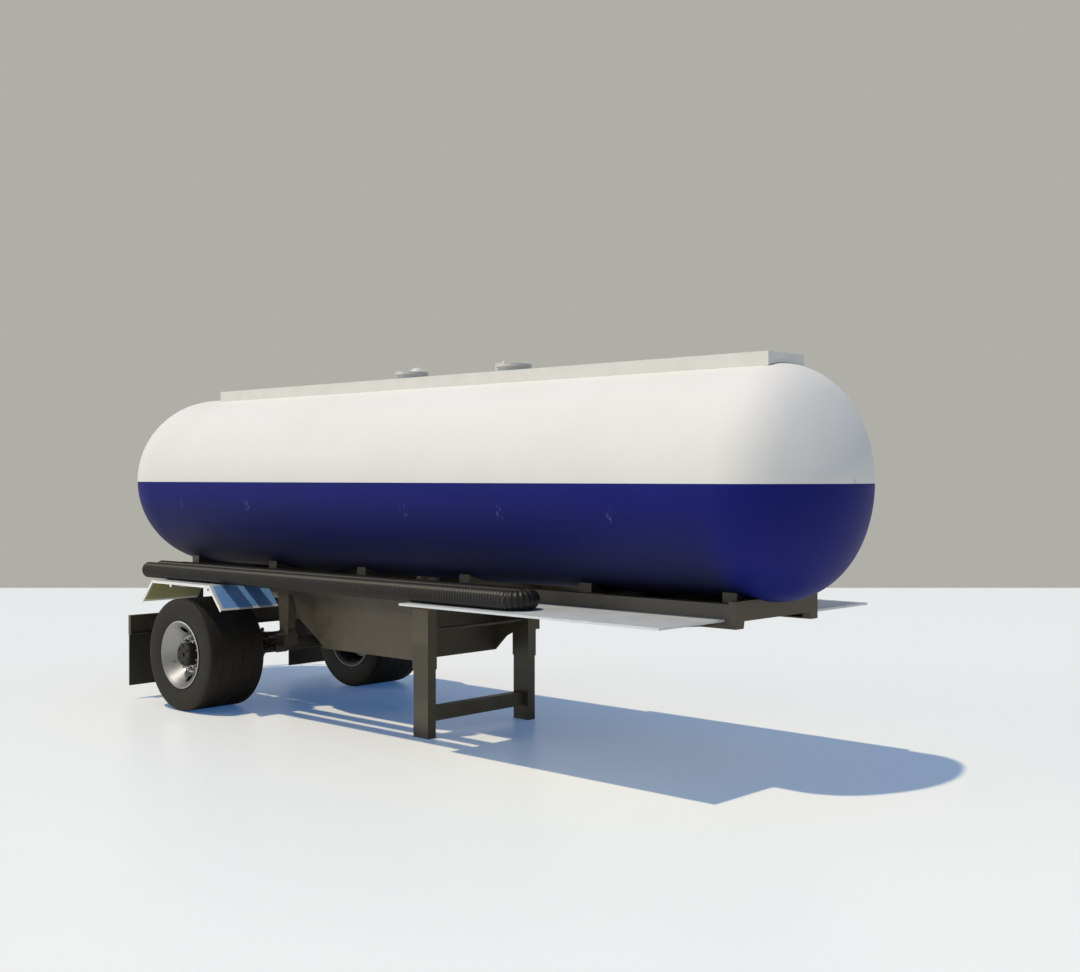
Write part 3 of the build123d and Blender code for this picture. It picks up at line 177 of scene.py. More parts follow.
# The lids are pressed steel with a dome or a shallow crown, sprayed pale grey like the necks
# and kept wiped. Handling has dulled the paint in small clouds.
lid_paint, shader, place = new_material("wiped_pale_grey_paint")
cloud = add_node(lid_paint, "ShaderNodeTexNoise", {"Scale": 16.0, "Detail": 7.0}, {"Vector": place})
tone = add_node(lid_paint, "ShaderNodeMix",
                {"data_type": "RGBA", 6: colour("#E6E5DF"), 7: colour("#CFCEC6")},
                {0: cloud.outputs["Fac"]})
dull = add_node(lid_paint, "ShaderNodeMapRange", {"To Min": 0.3, "To Max": 0.5},
                {"Value": cloud.outputs["Fac"]})
set_node(lid_paint, shader, links={"Base Color": tone.outputs[2], "Roughness": dull.outputs[0]})
give_material(("manhole_lid_front", "manhole_lid_rear"), lid_paint)


# The frame is folded and welded steel, sprayed with brown-black chassis enamel.
# Road dust has settled on it in patches, which lift the colour and take the gloss away,
# and the feet of the legs darken to near black up to about a hand's width.
dark_foot_top_z, dark_foot_full_z = 0.13, 0.05
chassis_enamel, shader, place = new_material("dusty_chassis_enamel")
patches = add_node(chassis_enamel, "ShaderNodeTexNoise",
                   {"Scale": 3.0, "Detail": 9.0, "Roughness": 0.65}, {"Vector": place})
spread = add_node(chassis_enamel, "ShaderNodeMapRange", {"From Min": 0.35, "From Max": 0.75},
                  {"Value": patches.outputs["Fac"]})
coat = add_node(chassis_enamel, "ShaderNodeMix",
                {"data_type": "RGBA", 6: colour("#3A352C"), 7: colour("#5C5548")},
                {0: spread.outputs[0]})
height = add_node(chassis_enamel, "ShaderNodeSeparateXYZ", links={0: place})
foot = add_node(chassis_enamel, "ShaderNodeMapRange",
                {"From Min": dark_foot_top_z, "From Max": dark_foot_full_z}, {"Value": height.outputs["Z"]})
foot_dark_strength = add_node(chassis_enamel, "ShaderNodeMath", {"operation": "MULTIPLY_ADD", 1: 0.8, 2: 0.25},
               {0: spread.outputs[0]})
dark_foot = add_node(chassis_enamel, "ShaderNodeMath", {"operation": "MULTIPLY", "use_clamp": True},
                  {0: foot.outputs[0], 1: foot_dark_strength.outputs[0]})
coat_with_dark_feet = add_node(chassis_enamel, "ShaderNodeMix", {"data_type": "RGBA", 7: colour("#17140F")},
                  {0: dark_foot.outputs[0], 6: coat.outputs[2]})
gloss = add_node(chassis_enamel, "ShaderNodeMapRange", {"To Min": 0.38, "To Max": 0.7},
                 {"Value": spread.outputs[0]})
grit = add_node(chassis_enamel, "ShaderNodeTexNoise", {"Scale": 260.0, "Detail": 2.0},
                {"Vector": place})
grain = add_node(chassis_enamel, "ShaderNodeBump", {"Strength": 0.08, "Distance": 0.001},
                 {"Height": grit.outputs["Fac"]})
set_node(chassis_enamel, shader, links={
    "Base Color": coat_with_dark_feet.outputs[2], "Roughness": gloss.outputs[0], "Normal": grain.outputs[0]})
give_material((
    "rail_right", "rail_left", "tank_cradles", "front_beam", "coupler_plate", "deck_brackets",
    "subframe_plate_right", "subframe_plate_left", "subframe_panels", "leg_tubes", "leg_slides",
    "leg_brace", "leg_brackets", "leg_gearbox", "leg_crank", "leg_cross_shaft", "axle",
    "spring_hangers", "axle_clamps", "brake_chambers", "brake_cams", "radius_rods", "pipe_straps",
    "air_reservoir", "reservoir_hanger", "rear_bar",
), chassis_enamel)


# Springs, kingpin, ladder and outlet are bare steel.
# Handling and weather have greyed the metal unevenly.
plain_steel, shader, place = new_material("greyed_plain_steel")
stain = add_node(plain_steel, "ShaderNodeTexNoise", {"Scale": 14.0, "Detail": 6.0}, {"Vector": place})
metal = add_node(plain_steel, "ShaderNodeMix",
                 {"data_type": "RGBA", 6: colour("#8A8986"), 7: colour("#6B6964")},
                 {0: stain.outputs["Fac"]})
wear = add_node(plain_steel, "ShaderNodeMapRange", {"To Min": 0.3, "To Max": 0.55},
                {"Value": stain.outputs["Fac"]})
set_node(plain_steel, shader, {"Metallic": 0.9},
         {"Base Color": metal.outputs[2], "Roughness": wear.outputs[0]})
give_material(("leaf_springs", "kingpin", "rear_ladder", "outlet_pipe", "outlet_valve"), plain_steel)


# The decks are aluminium tread plate, with slight lugs of the walkway's size.
# A pale oxide bloom has greyed the metal and taken most of its shine.
deck_plate, shader, place = new_material("oxidised_aluminium_tread_plate")
lugs = add_node(deck_plate, "ShaderNodeTexBrick", lug_rows, {"Vector": place})
raised = add_node(deck_plate, "ShaderNodeBump", {"Strength": 0.6, "Distance": 0.003, "invert": True},
                  {"Height": lugs.outputs["Fac"]})
bloom = add_node(deck_plate, "ShaderNodeTexNoise", {"Scale": 7.0, "Detail": 7.0}, {"Vector": place})
tone = add_node(deck_plate, "ShaderNodeMix",
                {"data_type": "RGBA", 6: colour("#E3E8EC"), 7: colour("#C3C9CE")},
                {0: bloom.outputs["Fac"]})
set_node(deck_plate, shader, {"Metallic": 0.25, "Roughness": 0.45},
         {"Base Color": tone.outputs[2], "Normal": raised.outputs[0]})
give_material(("deck_right", "deck_left"), deck_plate)


# The fender arms are bright aluminium tube, from the rails out to the fenders.
# A fine grain, as rolling leaves it, runs along the trailer in the metal's shine.
sheet_aluminium, shader, place = new_material("bright_rolled_aluminium_sheet")
stretch = add_node(sheet_aluminium, "ShaderNodeMapping", {"Scale": (1.0, 40.0, 40.0)},
                   {"Vector": place})
grain = add_node(sheet_aluminium, "ShaderNodeTexNoise", {"Scale": 3.0, "Detail": 5.0},
                 {"Vector": stretch.outputs[0]})
shine = add_node(sheet_aluminium, "ShaderNodeMapRange", {"To Min": 0.22, "To Max": 0.38},
                 {"Value": grain.outputs["Fac"]})
set_node(sheet_aluminium, shader, {"Base Color": colour("#DCE1E8"), "Metallic": 1.0},
         {"Roughness": shine.outputs[0]})
give_material(("fender_arms",), sheet_aluminium)


# The fenders are aluminium sheet, bent twice over the wheel. A painted reflection gives the front
# slope a clear blue cast of sky and the rear slope an olive one of warm surroundings, and the
# outer edge and the two lower edges show near white.
axle_x = -2.080
bend_from_axle = 0.484
pale_edge_y = 1.258
pale_edge_z = 0.990
fender_sheet, shader, place = new_material("aluminium_sheet_with_painted_reflections")
split = add_node(fender_sheet, "ShaderNodeSeparateXYZ", links={0: place})
ahead = add_node(fender_sheet, "ShaderNodeMath",
                 {"operation": "GREATER_THAN", 1: axle_x + bend_from_axle}, {0: split.outputs["X"]})
behind = add_node(fender_sheet, "ShaderNodeMath",
                  {"operation": "LESS_THAN", 1: axle_x - bend_from_axle}, {0: split.outputs["X"]})
clouds = add_node(fender_sheet, "ShaderNodeTexNoise", {"Scale": 4.0, "Detail": 5.0},
                  {"Vector": place})
# Painted reflections: blue on the front slope and olive on the rear slope, in place of the sky and
# surroundings mirrored in the sheet.
painted_sky_reflection = add_node(fender_sheet, "ShaderNodeMix",
                     {"data_type": "RGBA", 6: colour("#70AAF0"), 7: colour("#93C4F8")},
                     {0: clouds.outputs["Fac"]})
front = add_node(fender_sheet, "ShaderNodeMix", {"data_type": "RGBA", 6: colour("#DCE1E8")},
                 {0: ahead.outputs[0], 7: painted_sky_reflection.outputs[2]})
sheet_with_painted_reflections = add_node(fender_sheet, "ShaderNodeMix", {"data_type": "RGBA", 7: colour("#A3A377")},
                 {0: behind.outputs[0], 6: front.outputs[2]})
across = add_node(fender_sheet, "ShaderNodeMath", {"operation": "ABSOLUTE"}, {0: split.outputs["Y"]})
outer_edge = add_node(fender_sheet, "ShaderNodeMath", {"operation": "GREATER_THAN", 1: pale_edge_y},
                      {0: across.outputs[0]})
low_edge = add_node(fender_sheet, "ShaderNodeMath", {"operation": "LESS_THAN", 1: pale_edge_z},
                    {0: split.outputs["Z"]})
edge = add_node(fender_sheet, "ShaderNodeMath", {"operation": "MAXIMUM"},
                {0: outer_edge.outputs[0], 1: low_edge.outputs[0]})
pale_edged_sheet = add_node(fender_sheet, "ShaderNodeMix", {"data_type": "RGBA", 7: colour("#E8EAEA")},
                {0: edge.outputs[0], 6: sheet_with_painted_reflections.outputs[2]})
set_node(fender_sheet, shader, {"Metallic": 0.4, "Roughness": 0.34}, {"Base Color": pale_edged_sheet.outputs[2]})
give_material(("fender_right", "fender_left"), fender_sheet)


# The rims are spun aluminium, one deep dish each with two hand holes.
# Their polish has weathered to a plain grey metal with a broad, slightly cloudy shine.
rim_aluminium, shader, place = new_material("polished_wheel_aluminium")
haze = add_node(rim_aluminium, "ShaderNodeTexNoise", {"Scale": 22.0, "Detail": 4.0},
                {"Vector": place})
shine = add_node(rim_aluminium, "ShaderNodeMapRange", {"To Min": 0.34, "To Max": 0.5},
                 {"Value": haze.outputs["Fac"]})
set_node(rim_aluminium, shader, {"Base Color": colour("#999CA2"), "Metallic": 1.0},
         {"Roughness": shine.outputs[0]})
give_material(("rim_right", "rim_left"), rim_aluminium)


# The hubs are iron castings, oiled and blackened.
# The sand mould leaves a fine rough skin.
black_casting, shader, place = new_material("blackened_iron_casting")
skin = add_node(black_casting, "ShaderNodeTexNoise", {"Scale": 190.0, "Detail": 3.0},
                {"Vector": place})
rough = add_node(black_casting, "ShaderNodeBump", {"Strength": 0.25, "Distance": 0.001},
                 {"Height": skin.outputs["Fac"]})
set_node(black_casting, shader, {"Base Color": colour("#1D1B18"), "Metallic": 0.3, "Roughness": 0.55},
         {"Normal": rough.outputs[0]})
give_material(("hub_right", "hub_left"), black_casting)


# The brake drums are grey iron, turned bright and then sprayed with a thin silver paint.
# Brake dust clouds it, so it is half matt.
drum_paint, shader, place = new_material("silver_painted_grey_iron")
soot = add_node(drum_paint, "ShaderNodeTexNoise", {"Scale": 12.0, "Detail": 6.0}, {"Vector": place})
tone = add_node(drum_paint, "ShaderNodeMix",
                {"data_type": "RGBA", 6: colour("#B9BDC1"), 7: colour("#8D9094")},
                {0: soot.outputs["Fac"]})
set_node(drum_paint, shader, {"Metallic": 0.3, "Roughness": 0.5}, {"Base Color": tone.outputs[2]})
give_material(("drum_right", "drum_left"), drum_paint)


# The mud flaps are moulded rubber sheets, matt and a little dusty.
# The dust lies in soft patches a hand or two across.
flap_rubber, shader, place = new_material("moulded_flap_rubber")
dust = add_node(flap_rubber, "ShaderNodeTexNoise", {"Scale": 7.0, "Detail": 8.0}, {"Vector": place})
tone = add_node(flap_rubber, "ShaderNodeMix",
                {"data_type": "RGBA", 6: colour("#22211F"), 7: colour("#34322D")},
                {0: dust.outputs["Fac"]})
set_node(flap_rubber, shader, {"Roughness": 0.7}, {"Base Color": tone.outputs[2]})
give_material(("mud_flaps",), flap_rubber)


# The tail lamps are moulded red acrylic lenses, three on each side of the rear bar.
# The inside of a lens is cast in prisms about 8 mm wide, which break its shine up.
lens_red, shader, place = new_material("moulded_red_acrylic")
prisms = add_node(lens_red, "ShaderNodeTexVoronoi", {"Scale": 120.0, "distance": "CHEBYCHEV"},
                  {"Vector": place})
facets = add_node(lens_red, "ShaderNodeBump", {"Strength": 0.5, "Distance": 0.002},
                  {"Height": prisms.outputs["Distance"]})
set_node(lens_red, shader, {"Base Color": colour("#8E1210"), "Roughness": 0.18},
         {"Normal": facets.outputs[0]})
give_material(("tail_lamps",), lens_red)


# Each tyre is one wide road tyre on a wide rim, with square shoulders and four shallow grooves
# that are worn almost flat. Fine cuts cross the tread, and the rubber is near black under
# a thin brown dust.
sides = ((-1, "right"), (1, "left"))


def select_nothing():
    """Clears the selection, because an operator acts on all that is selected."""
    bpy.ops.object.select_all(action="DESELECT")


def placed(name):
    """Names the primitive just added, and moves its place, turn and size into its mesh."""
    piece = bpy.context.object
    piece.name = name
    bpy.ops.object.transform_apply(location=True, rotation=True, scale=True)
    return piece


def turned(name, centre, rings, segments, side):
    """Turns a shape about a line along Y: rings are (outward distance, radius) from the centre."""
    select_nothing()
    out, radius = rings[0]
    centre = Vector(centre)
    bpy.ops.mesh.primitive_circle_add(vertices=segments, radius=radius, rotation=(pi / 2, 0, 0),
                                      location=centre + Vector((0, side * out, 0)))
    piece = placed(name)
    bpy.ops.object.mode_set(mode="EDIT")
    bpy.ops.mesh.select_mode(type="EDGE")
    bpy.ops.mesh.select_all(action="SELECT")
    for next_out, next_r in rings[1:]:
        bpy.ops.mesh.extrude_edges_move(
            TRANSFORM_OT_translate={"value": (0, side * (next_out - out), 0)})
        bpy.ops.transform.resize(value=(next_r / radius, 1, next_r / radius),
                                 center_override=centre + Vector((0, side * next_out, 0)))
        out, radius = next_out, next_r
    bpy.ops.mesh.select_all(action="SELECT")
    bpy.ops.mesh.remove_doubles(threshold=0.00005)
    bpy.ops.mesh.normals_make_consistent(inside=False)
    bpy.ops.object.mode_set(mode="OBJECT")
    bpy.ops.object.shade_smooth_by_angle(angle=radians(35))
    return piece


def dress(piece, material, body="chassis"):
    """Gives a new piece its material and its body."""
    piece.data.materials.clear()
    piece.data.materials.append(material)
    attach(piece, body)


axle_z = 0.5207
tyre_mid = 1.005
tread_r = 0.5206
shoulder_r = 0.512
tread_cuts = 88.0
cut_level = 0.86
groove_w = 0.010
groove_d = 0.004
groove_draft = 0.001
tyre_rubber, shader, place = new_material("dusty_tyre_rubber")
offset = add_node(tyre_rubber, "ShaderNodeMapping", {"Location": (-axle_x, 0.0, -axle_z)},
                  {"Vector": place})
split = add_node(tyre_rubber, "ShaderNodeSeparateXYZ", links={0: offset.outputs[0]})
turn = add_node(tyre_rubber, "ShaderNodeMath", {"operation": "ARCTAN2"},
                {0: split.outputs["Z"], 1: split.outputs["X"]})
sipes = add_node(tyre_rubber, "ShaderNodeMath", {"operation": "MULTIPLY", 1: tread_cuts},
                 {0: turn.outputs[0]})
wave = add_node(tyre_rubber, "ShaderNodeMath", {"operation": "SINE"}, {0: sipes.outputs[0]})
cuts = add_node(tyre_rubber, "ShaderNodeMath", {"operation": "GREATER_THAN", 1: cut_level},
                {0: wave.outputs[0]})
radial = add_node(tyre_rubber, "ShaderNodeCombineXYZ",
                  links={0: split.outputs["X"], 2: split.outputs["Z"]})
reach = add_node(tyre_rubber, "ShaderNodeVectorMath", {"operation": "LENGTH"},
                 {0: radial.outputs[0]})
on_tread = add_node(tyre_rubber, "ShaderNodeMath", {"operation": "GREATER_THAN", 1: shoulder_r},
                    {0: reach.outputs["Value"]})
marks = add_node(tyre_rubber, "ShaderNodeMath", {"operation": "MULTIPLY"},
                 {0: cuts.outputs[0], 1: on_tread.outputs[0]})
dust = add_node(tyre_rubber, "ShaderNodeTexNoise", {"Scale": 11.0, "Detail": 8.0}, {"Vector": place})
tone = add_node(tyre_rubber, "ShaderNodeMix",
                {"data_type": "RGBA", 6: colour("#121110"), 7: colour("#24221E")},
                {0: dust.outputs["Fac"]})
sunk = add_node(tyre_rubber, "ShaderNodeBump", {"Strength": 0.4, "Distance": 0.002, "invert": True},
                {"Height": marks.outputs[0]})
set_node(tyre_rubber, shader, {"Roughness": 0.62, "Specular IOR Level": 0.3},
         {"Base Color": tone.outputs[2], "Normal": sunk.outputs[0]})
tyre_wall = [
    (0.2727, 0.289), (0.2727, 0.315), (0.2810, 0.321), (0.2866, 0.345), (0.2915, 0.380),
    (0.2948, 0.433), (0.2940, 0.470), (0.2908, 0.498), (0.2875, 0.5075), (0.2840, 0.5135),
    (0.2770, 0.5180), (0.267, 0.5204)]
tyre_rings = list(tyre_wall)
for groove_y in (0.165, 0.055, -0.055, -0.165):
    groove_out, groove_in = groove_y + groove_w / 2, groove_y - groove_w / 2
    tyre_rings += [(groove_out, tread_r), (groove_out - groove_draft, tread_r - groove_d),
                   (groove_in + groove_draft, tread_r - groove_d), (groove_in, tread_r)]
tyre_rings += [(-out, radius) for out, radius in reversed(tyre_wall)] + [tyre_wall[0]]
for side, side_name in sides:
    tyre = turned(f"tread_tyre_{side_name}", (axle_x, side * tyre_mid, axle_z), tyre_rings, 96, side)
    dress(tyre, tyre_rubber, f"wheel_{side_name}")
    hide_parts(f"tyre_{side_name}")


# Ten plated nuts on studs hold each wheel, on a circle of 286 mm.
# A nut is a hexagon with its stud standing through it, made once and spun round the hub.
# The valve's long stem is made the same way, from a smaller hexagon.
def select_faces(piece, wanted):
    """Leaves the piece in edit mode with only the wanted faces selected."""
    bpy.ops.object.mode_set(mode="EDIT")
    bpy.ops.mesh.select_mode(type="FACE")
    bpy.ops.mesh.select_all(action="DESELECT")
    bpy.ops.object.mode_set(mode="OBJECT")
    for face in piece.data.polygons:
        face.select = wanted(face)
    bpy.ops.object.mode_set(mode="EDIT")


def hexagon(name, foot, outward, radius, height, stud=0.0):
    """Makes a bolt head or nut that stands on its foot point, with a stud through it if given."""
    select_nothing()
    outward = Vector(outward)
    bpy.ops.mesh.primitive_cylinder_add(vertices=6, radius=radius, depth=height,
                                        location=Vector(foot) + outward * height / 2,
                                        rotation=outward.to_track_quat("Z", "Y").to_euler())
    piece = placed(name)
    select_faces(piece, lambda face: face.normal.dot(outward) > 0.9)
    bpy.ops.mesh.inset(thickness=radius * 0.12)
    bpy.ops.transform.translate(value=outward * radius * 0.08)
    bpy.ops.mesh.inset(thickness=radius * 0.3)
    if stud:
        bpy.ops.mesh.extrude_region_move(TRANSFORM_OT_translate={"value": outward * stud})
    bpy.ops.object.mode_set(mode="OBJECT")
    return piece


def spun(piece, centre, axis, count):
    """Repeats a piece evenly round an axis."""
    bpy.ops.object.mode_set(mode="EDIT")
    bpy.ops.mesh.select_all(action="SELECT")
    bpy.ops.mesh.spin(steps=count - 1, dupli=True, angle=2 * pi * (count - 1) / count,
                      center=centre, axis=axis)
    bpy.ops.object.mode_set(mode="OBJECT")


disc_face_y = 1.155
nut_circle_r = 0.143
nut_count = 10
stem_foot = (-0.205, 1.205, -0.085)
fastener_zinc, shader, place = new_material("zinc_plated_fastener")
tarnish = add_node(fastener_zinc, "ShaderNodeTexNoise", {"Scale": 45.0, "Detail": 5.0},
                   {"Vector": place})
plating = add_node(fastener_zinc, "ShaderNodeMix",
                   {"data_type": "RGBA", 6: colour("#C4C3BE"), 7: colour("#8F8C84")},
                   {0: tarnish.outputs["Fac"]})
set_node(fastener_zinc, shader, {"Metallic": 1.0, "Roughness": 0.36},
         {"Base Color": plating.outputs[2]})
for side, side_name in sides:
    nuts = hexagon(f"wheel_nuts_{side_name}", (axle_x, side * disc_face_y, axle_z + nut_circle_r),
                   (0, side, 0), 0.0195, 0.027, 0.022)
    spun(nuts, (axle_x, 0, axle_z), (0, 1, 0), nut_count)
    dress(nuts, fastener_zinc, f"wheel_{side_name}")
    stem_x, stem_y, stem_z = stem_foot
    stem = hexagon(f"valve_stem_{side_name}", (axle_x + stem_x, side * stem_y, axle_z + stem_z),
                   (0, side, 0), 0.007, 0.014, 0.036)
    dress(stem, fastener_zinc, f"wheel_{side_name}")


# Six small bolts hold each hub cap, and an oil plug closes its middle.
# They are steel, blackened with the casting.
def joined(pieces):
    """Joins like pieces into the first of them."""
    select_nothing()
    for piece in pieces:
        piece.select_set(True)
    bpy.context.view_layer.objects.active = pieces[0]
    bpy.ops.object.join()
    return bpy.context.object


cap_face_y = 1.257
cap_circle_r = 0.078
cap_bolt_count = 6
for side, side_name in sides:
    cap_bolts = hexagon(f"hub_cap_bolts_{side_name}",
                        (axle_x, side * cap_face_y, axle_z + cap_circle_r),
                        (0, side, 0), 0.009, 0.007)
    spun(cap_bolts, (axle_x, 0, axle_z), (0, 1, 0), cap_bolt_count)
    plug = hexagon(f"oil_plug_{side_name}", (axle_x, side * cap_face_y, axle_z),
                   (0, side, 0), 0.021, 0.010)
    dress(joined([cap_bolts, plug]), black_casting, f"wheel_{side_name}")


# A flat bent clip holds each lid down at its front edge, sprayed with the lid.
# The front lid also has a small turned lifting knob near its hinge.
clip_ahead = 0.138
clip_z = 3.1165
for lid_name, lid_x in (("rear", -0.310), ("front", 0.974)):
    select_nothing()
    bpy.ops.mesh.primitive_cube_add(size=1, location=(lid_x + clip_ahead, 0, clip_z),
                                    scale=(0.030, 0.026, 0.005))
    clip = placed(f"lid_clip_{lid_name}")
    select_faces(clip, lambda face: face.normal.x > 0.9)
    bpy.ops.mesh.extrude_region_move(TRANSFORM_OT_translate={"value": (0.010, 0, -0.009)})
    bpy.ops.mesh.select_all(action="SELECT")
    bpy.ops.mesh.bevel(offset=0.0012, segments=2)
    bpy.ops.object.mode_set(mode="OBJECT")
    dress(clip, lid_paint, f"lid_{lid_name}")
knob_x = 0.858
knob_z = 3.131
neck_z = 3.108
select_nothing()
bpy.ops.mesh.primitive_uv_sphere_add(segments=28, ring_count=14, radius=0.019,
                                     location=(knob_x, 0, knob_z))
knob = placed("lid_knob_front")
select_faces(knob, lambda face: face.normal.z < -0.5)
bpy.ops.mesh.extrude_region_move(TRANSFORM_OT_translate={"value": (0, 0, -0.014)})
bpy.ops.transform.resize(value=(0.7, 0.7, 0.1), center_override=(knob_x, 0, neck_z))
bpy.ops.object.mode_set(mode="OBJECT")
bpy.ops.object.shade_smooth_by_angle(angle=radians(40))
dress(knob, lid_paint, "lid_front")


# Spring bolts and U-bolt nuts are plain steel hexagons, sprayed over with the frame.
# A spring bolt's thread stands 8 mm out of its hexagon.
spring_y = 0.480
hanger_from_axle = 0.550
hanger_half_w = 0.0438
spring_bolt_z = 0.716
u_bolt_x, u_bolt_y = 0.085, 0.0485
clamp_top_z = 0.6923
bolts = []
for side, side_name in sides:
    for end in (-1, 1):
        bolt_foot = (axle_x + end * hanger_from_axle, side * (spring_y + hanger_half_w), spring_bolt_z)
        bolts.append(hexagon(f"spring_bolt_{side_name}_{end}", bolt_foot,
                             (0, side, 0), 0.017, 0.012, 0.008))
    for dx, dy in ((-1, -1), (-1, 1), (1, -1), (1, 1)):
        nut_foot = (axle_x + dx * u_bolt_x, side * spring_y + dy * u_bolt_y, clamp_top_z)
        bolts.append(hexagon(f"u_bolt_nut_{side_name}", nut_foot, (0, 0, 1), 0.0175, 0.014))
frame_bolts = joined(bolts)
frame_bolts.name = "frame_bolts"
dress(frame_bolts, chassis_enamel)


# A flat zinc-plated bar and five bolts clamp each mud flap to the rear bar.
# The edges of the flat bar are broken by 1 mm.
def in_row(piece, count, step):
    """Repeats a piece along a straight line."""
    select_nothing()
    bpy.context.view_layer.objects.active = piece
    piece.select_set(True)
    rows = piece.modifiers.new("row", "ARRAY")
    rows.use_relative_offset = False
    rows.use_constant_offset = True
    rows.constant_offset_displace = step
    rows.count = count
    bpy.ops.object.modifier_apply(modifier=rows.name)


flap_mid_y = 0.9545
strip_x = -3.0505
strip_z = 0.675
flap_bolt_x, flap_bolt_y = -3.053, 0.695
flap_bolt_pitch = 0.130
flap_bolt_count = 5
strips = []
for side, side_name in sides:
    select_nothing()
    bpy.ops.mesh.primitive_cube_add(size=1, location=(strip_x, side * flap_mid_y, strip_z),
                                    scale=(0.005, 0.585, 0.036))
    strip = placed(f"flap_strip_{side_name}")
    bpy.ops.object.mode_set(mode="EDIT")
    bpy.ops.mesh.select_all(action="SELECT")
    bpy.ops.mesh.bevel(offset=0.001, segments=1)
    bpy.ops.object.mode_set(mode="OBJECT")
    heads = hexagon(f"flap_bolts_{side_name}", (flap_bolt_x, side * flap_bolt_y, strip_z),
                    (-1, 0, 0), 0.010, 0.008)
    in_row(heads, flap_bolt_count, (0, side * flap_bolt_pitch, 0))
    strips += [strip, heads]
flap_strips = joined(strips)
flap_strips.name = "flap_strips"
dress(flap_strips, fastener_zinc)


# Each lamp sits in a rubber grommet, a ring pressed flat against the bar.
# It is moulded from the same rubber as the flaps.
inner_lamp = (-3.0435, 0.752, 0.760)
lamp_pitch = 0.140
lamp_count = 3
grommets = []
for side, side_name in sides:
    lamp_x, lamp_y, lamp_z = inner_lamp
    ring_centre = (lamp_x, side * lamp_y, lamp_z)
    select_nothing()
    bpy.ops.mesh.primitive_torus_add(major_radius=0.0545, minor_radius=0.0055,
                                     rotation=(0, pi / 2, 0), location=ring_centre,
                                     major_segments=40, minor_segments=8)
    ring = placed(f"lamp_grommet_{side_name}")
    bpy.ops.object.mode_set(mode="EDIT")
    bpy.ops.mesh.select_all(action="SELECT")
    bpy.ops.transform.resize(value=(0.8, 1, 1), center_override=ring_centre)
    bpy.ops.object.mode_set(mode="OBJECT")
    bpy.ops.object.shade_smooth()
    in_row(ring, lamp_count, (0, side * lamp_pitch, 0))
    grommets.append(ring)
lamp_grommets = joined(grommets)
lamp_grommets.name = "lamp_grommets"
dress(lamp_grommets, flap_rubber)


# Low rivets fix the decks along their outer edges, and the fenders to their arms.
# They are aluminium, set in a row by machine.
sheet_top_z = 1.188
deck_rivet_x, deck_rivet_y = 1.000, 1.246
deck_rivet_pitch = 0.128
arm_from_axle = 0.300
fender_rivet_ys = (0.730, 1.140)
rivets = []
for side, side_name, deck_count in ((-1, "right", 20), (1, "left", 21)):
    row = hexagon(f"deck_rivets_{side_name}", (deck_rivet_x, side * deck_rivet_y, sheet_top_z),
                  (0, 0, 1), 0.007, 0.003)
    in_row(row, deck_count, (deck_rivet_pitch, 0, 0))
    rivets.append(row)
    for y in fender_rivet_ys:
        pair = hexagon(f"fender_rivets_{side_name}", (axle_x - arm_from_axle, side * y, sheet_top_z),
                       (0, 0, 1), 0.009, 0.004)
        in_row(pair, 2, (2 * arm_from_axle, 0, 0))
        rivets.append(pair)
sheet_rivets = joined(rivets)
sheet_rivets.name = "sheet_rivets"
dress(sheet_rivets, sheet_aluminium)


# Each hose is black ribbed rubber, 152 mm thick, folded once and laid down.
# A rib pitch of 29 mm is modelled once, repeated along the run and bent round the fold.
hose_r = 0.076
hose_root = 0.0695
hose_pitch = 0.029
hose_z = 1.2643
hose_mid_y = 1.005
fold_x = 1.950
fold_r = 0.110
outer_end, inner_end = -2.910, -3.030
quarter_handle = 0.5523   # the curve handle of a quarter circle, as a share of its radius
hose_rubber, shader, place = new_material("ribbed_hose_rubber")
dust = add_node(hose_rubber, "ShaderNodeTexNoise", {"Scale": 6.0, "Detail": 9.0}, {"Vector": place})
tone = add_node(hose_rubber, "ShaderNodeMix",
                {"data_type": "RGBA", 6: colour("#101112"), 7: colour("#1E1E1F")},
                {0: dust.outputs["Fac"]})
set_node(hose_rubber, shader, {"Roughness": 0.45, "Specular IOR Level": 0.35},
         {"Base Color": tone.outputs[2]})
length = (fold_x - outer_end) + pi * fold_r + (fold_x - inner_end)
rib_count = int(length / hose_pitch)
pitch = length / rib_count
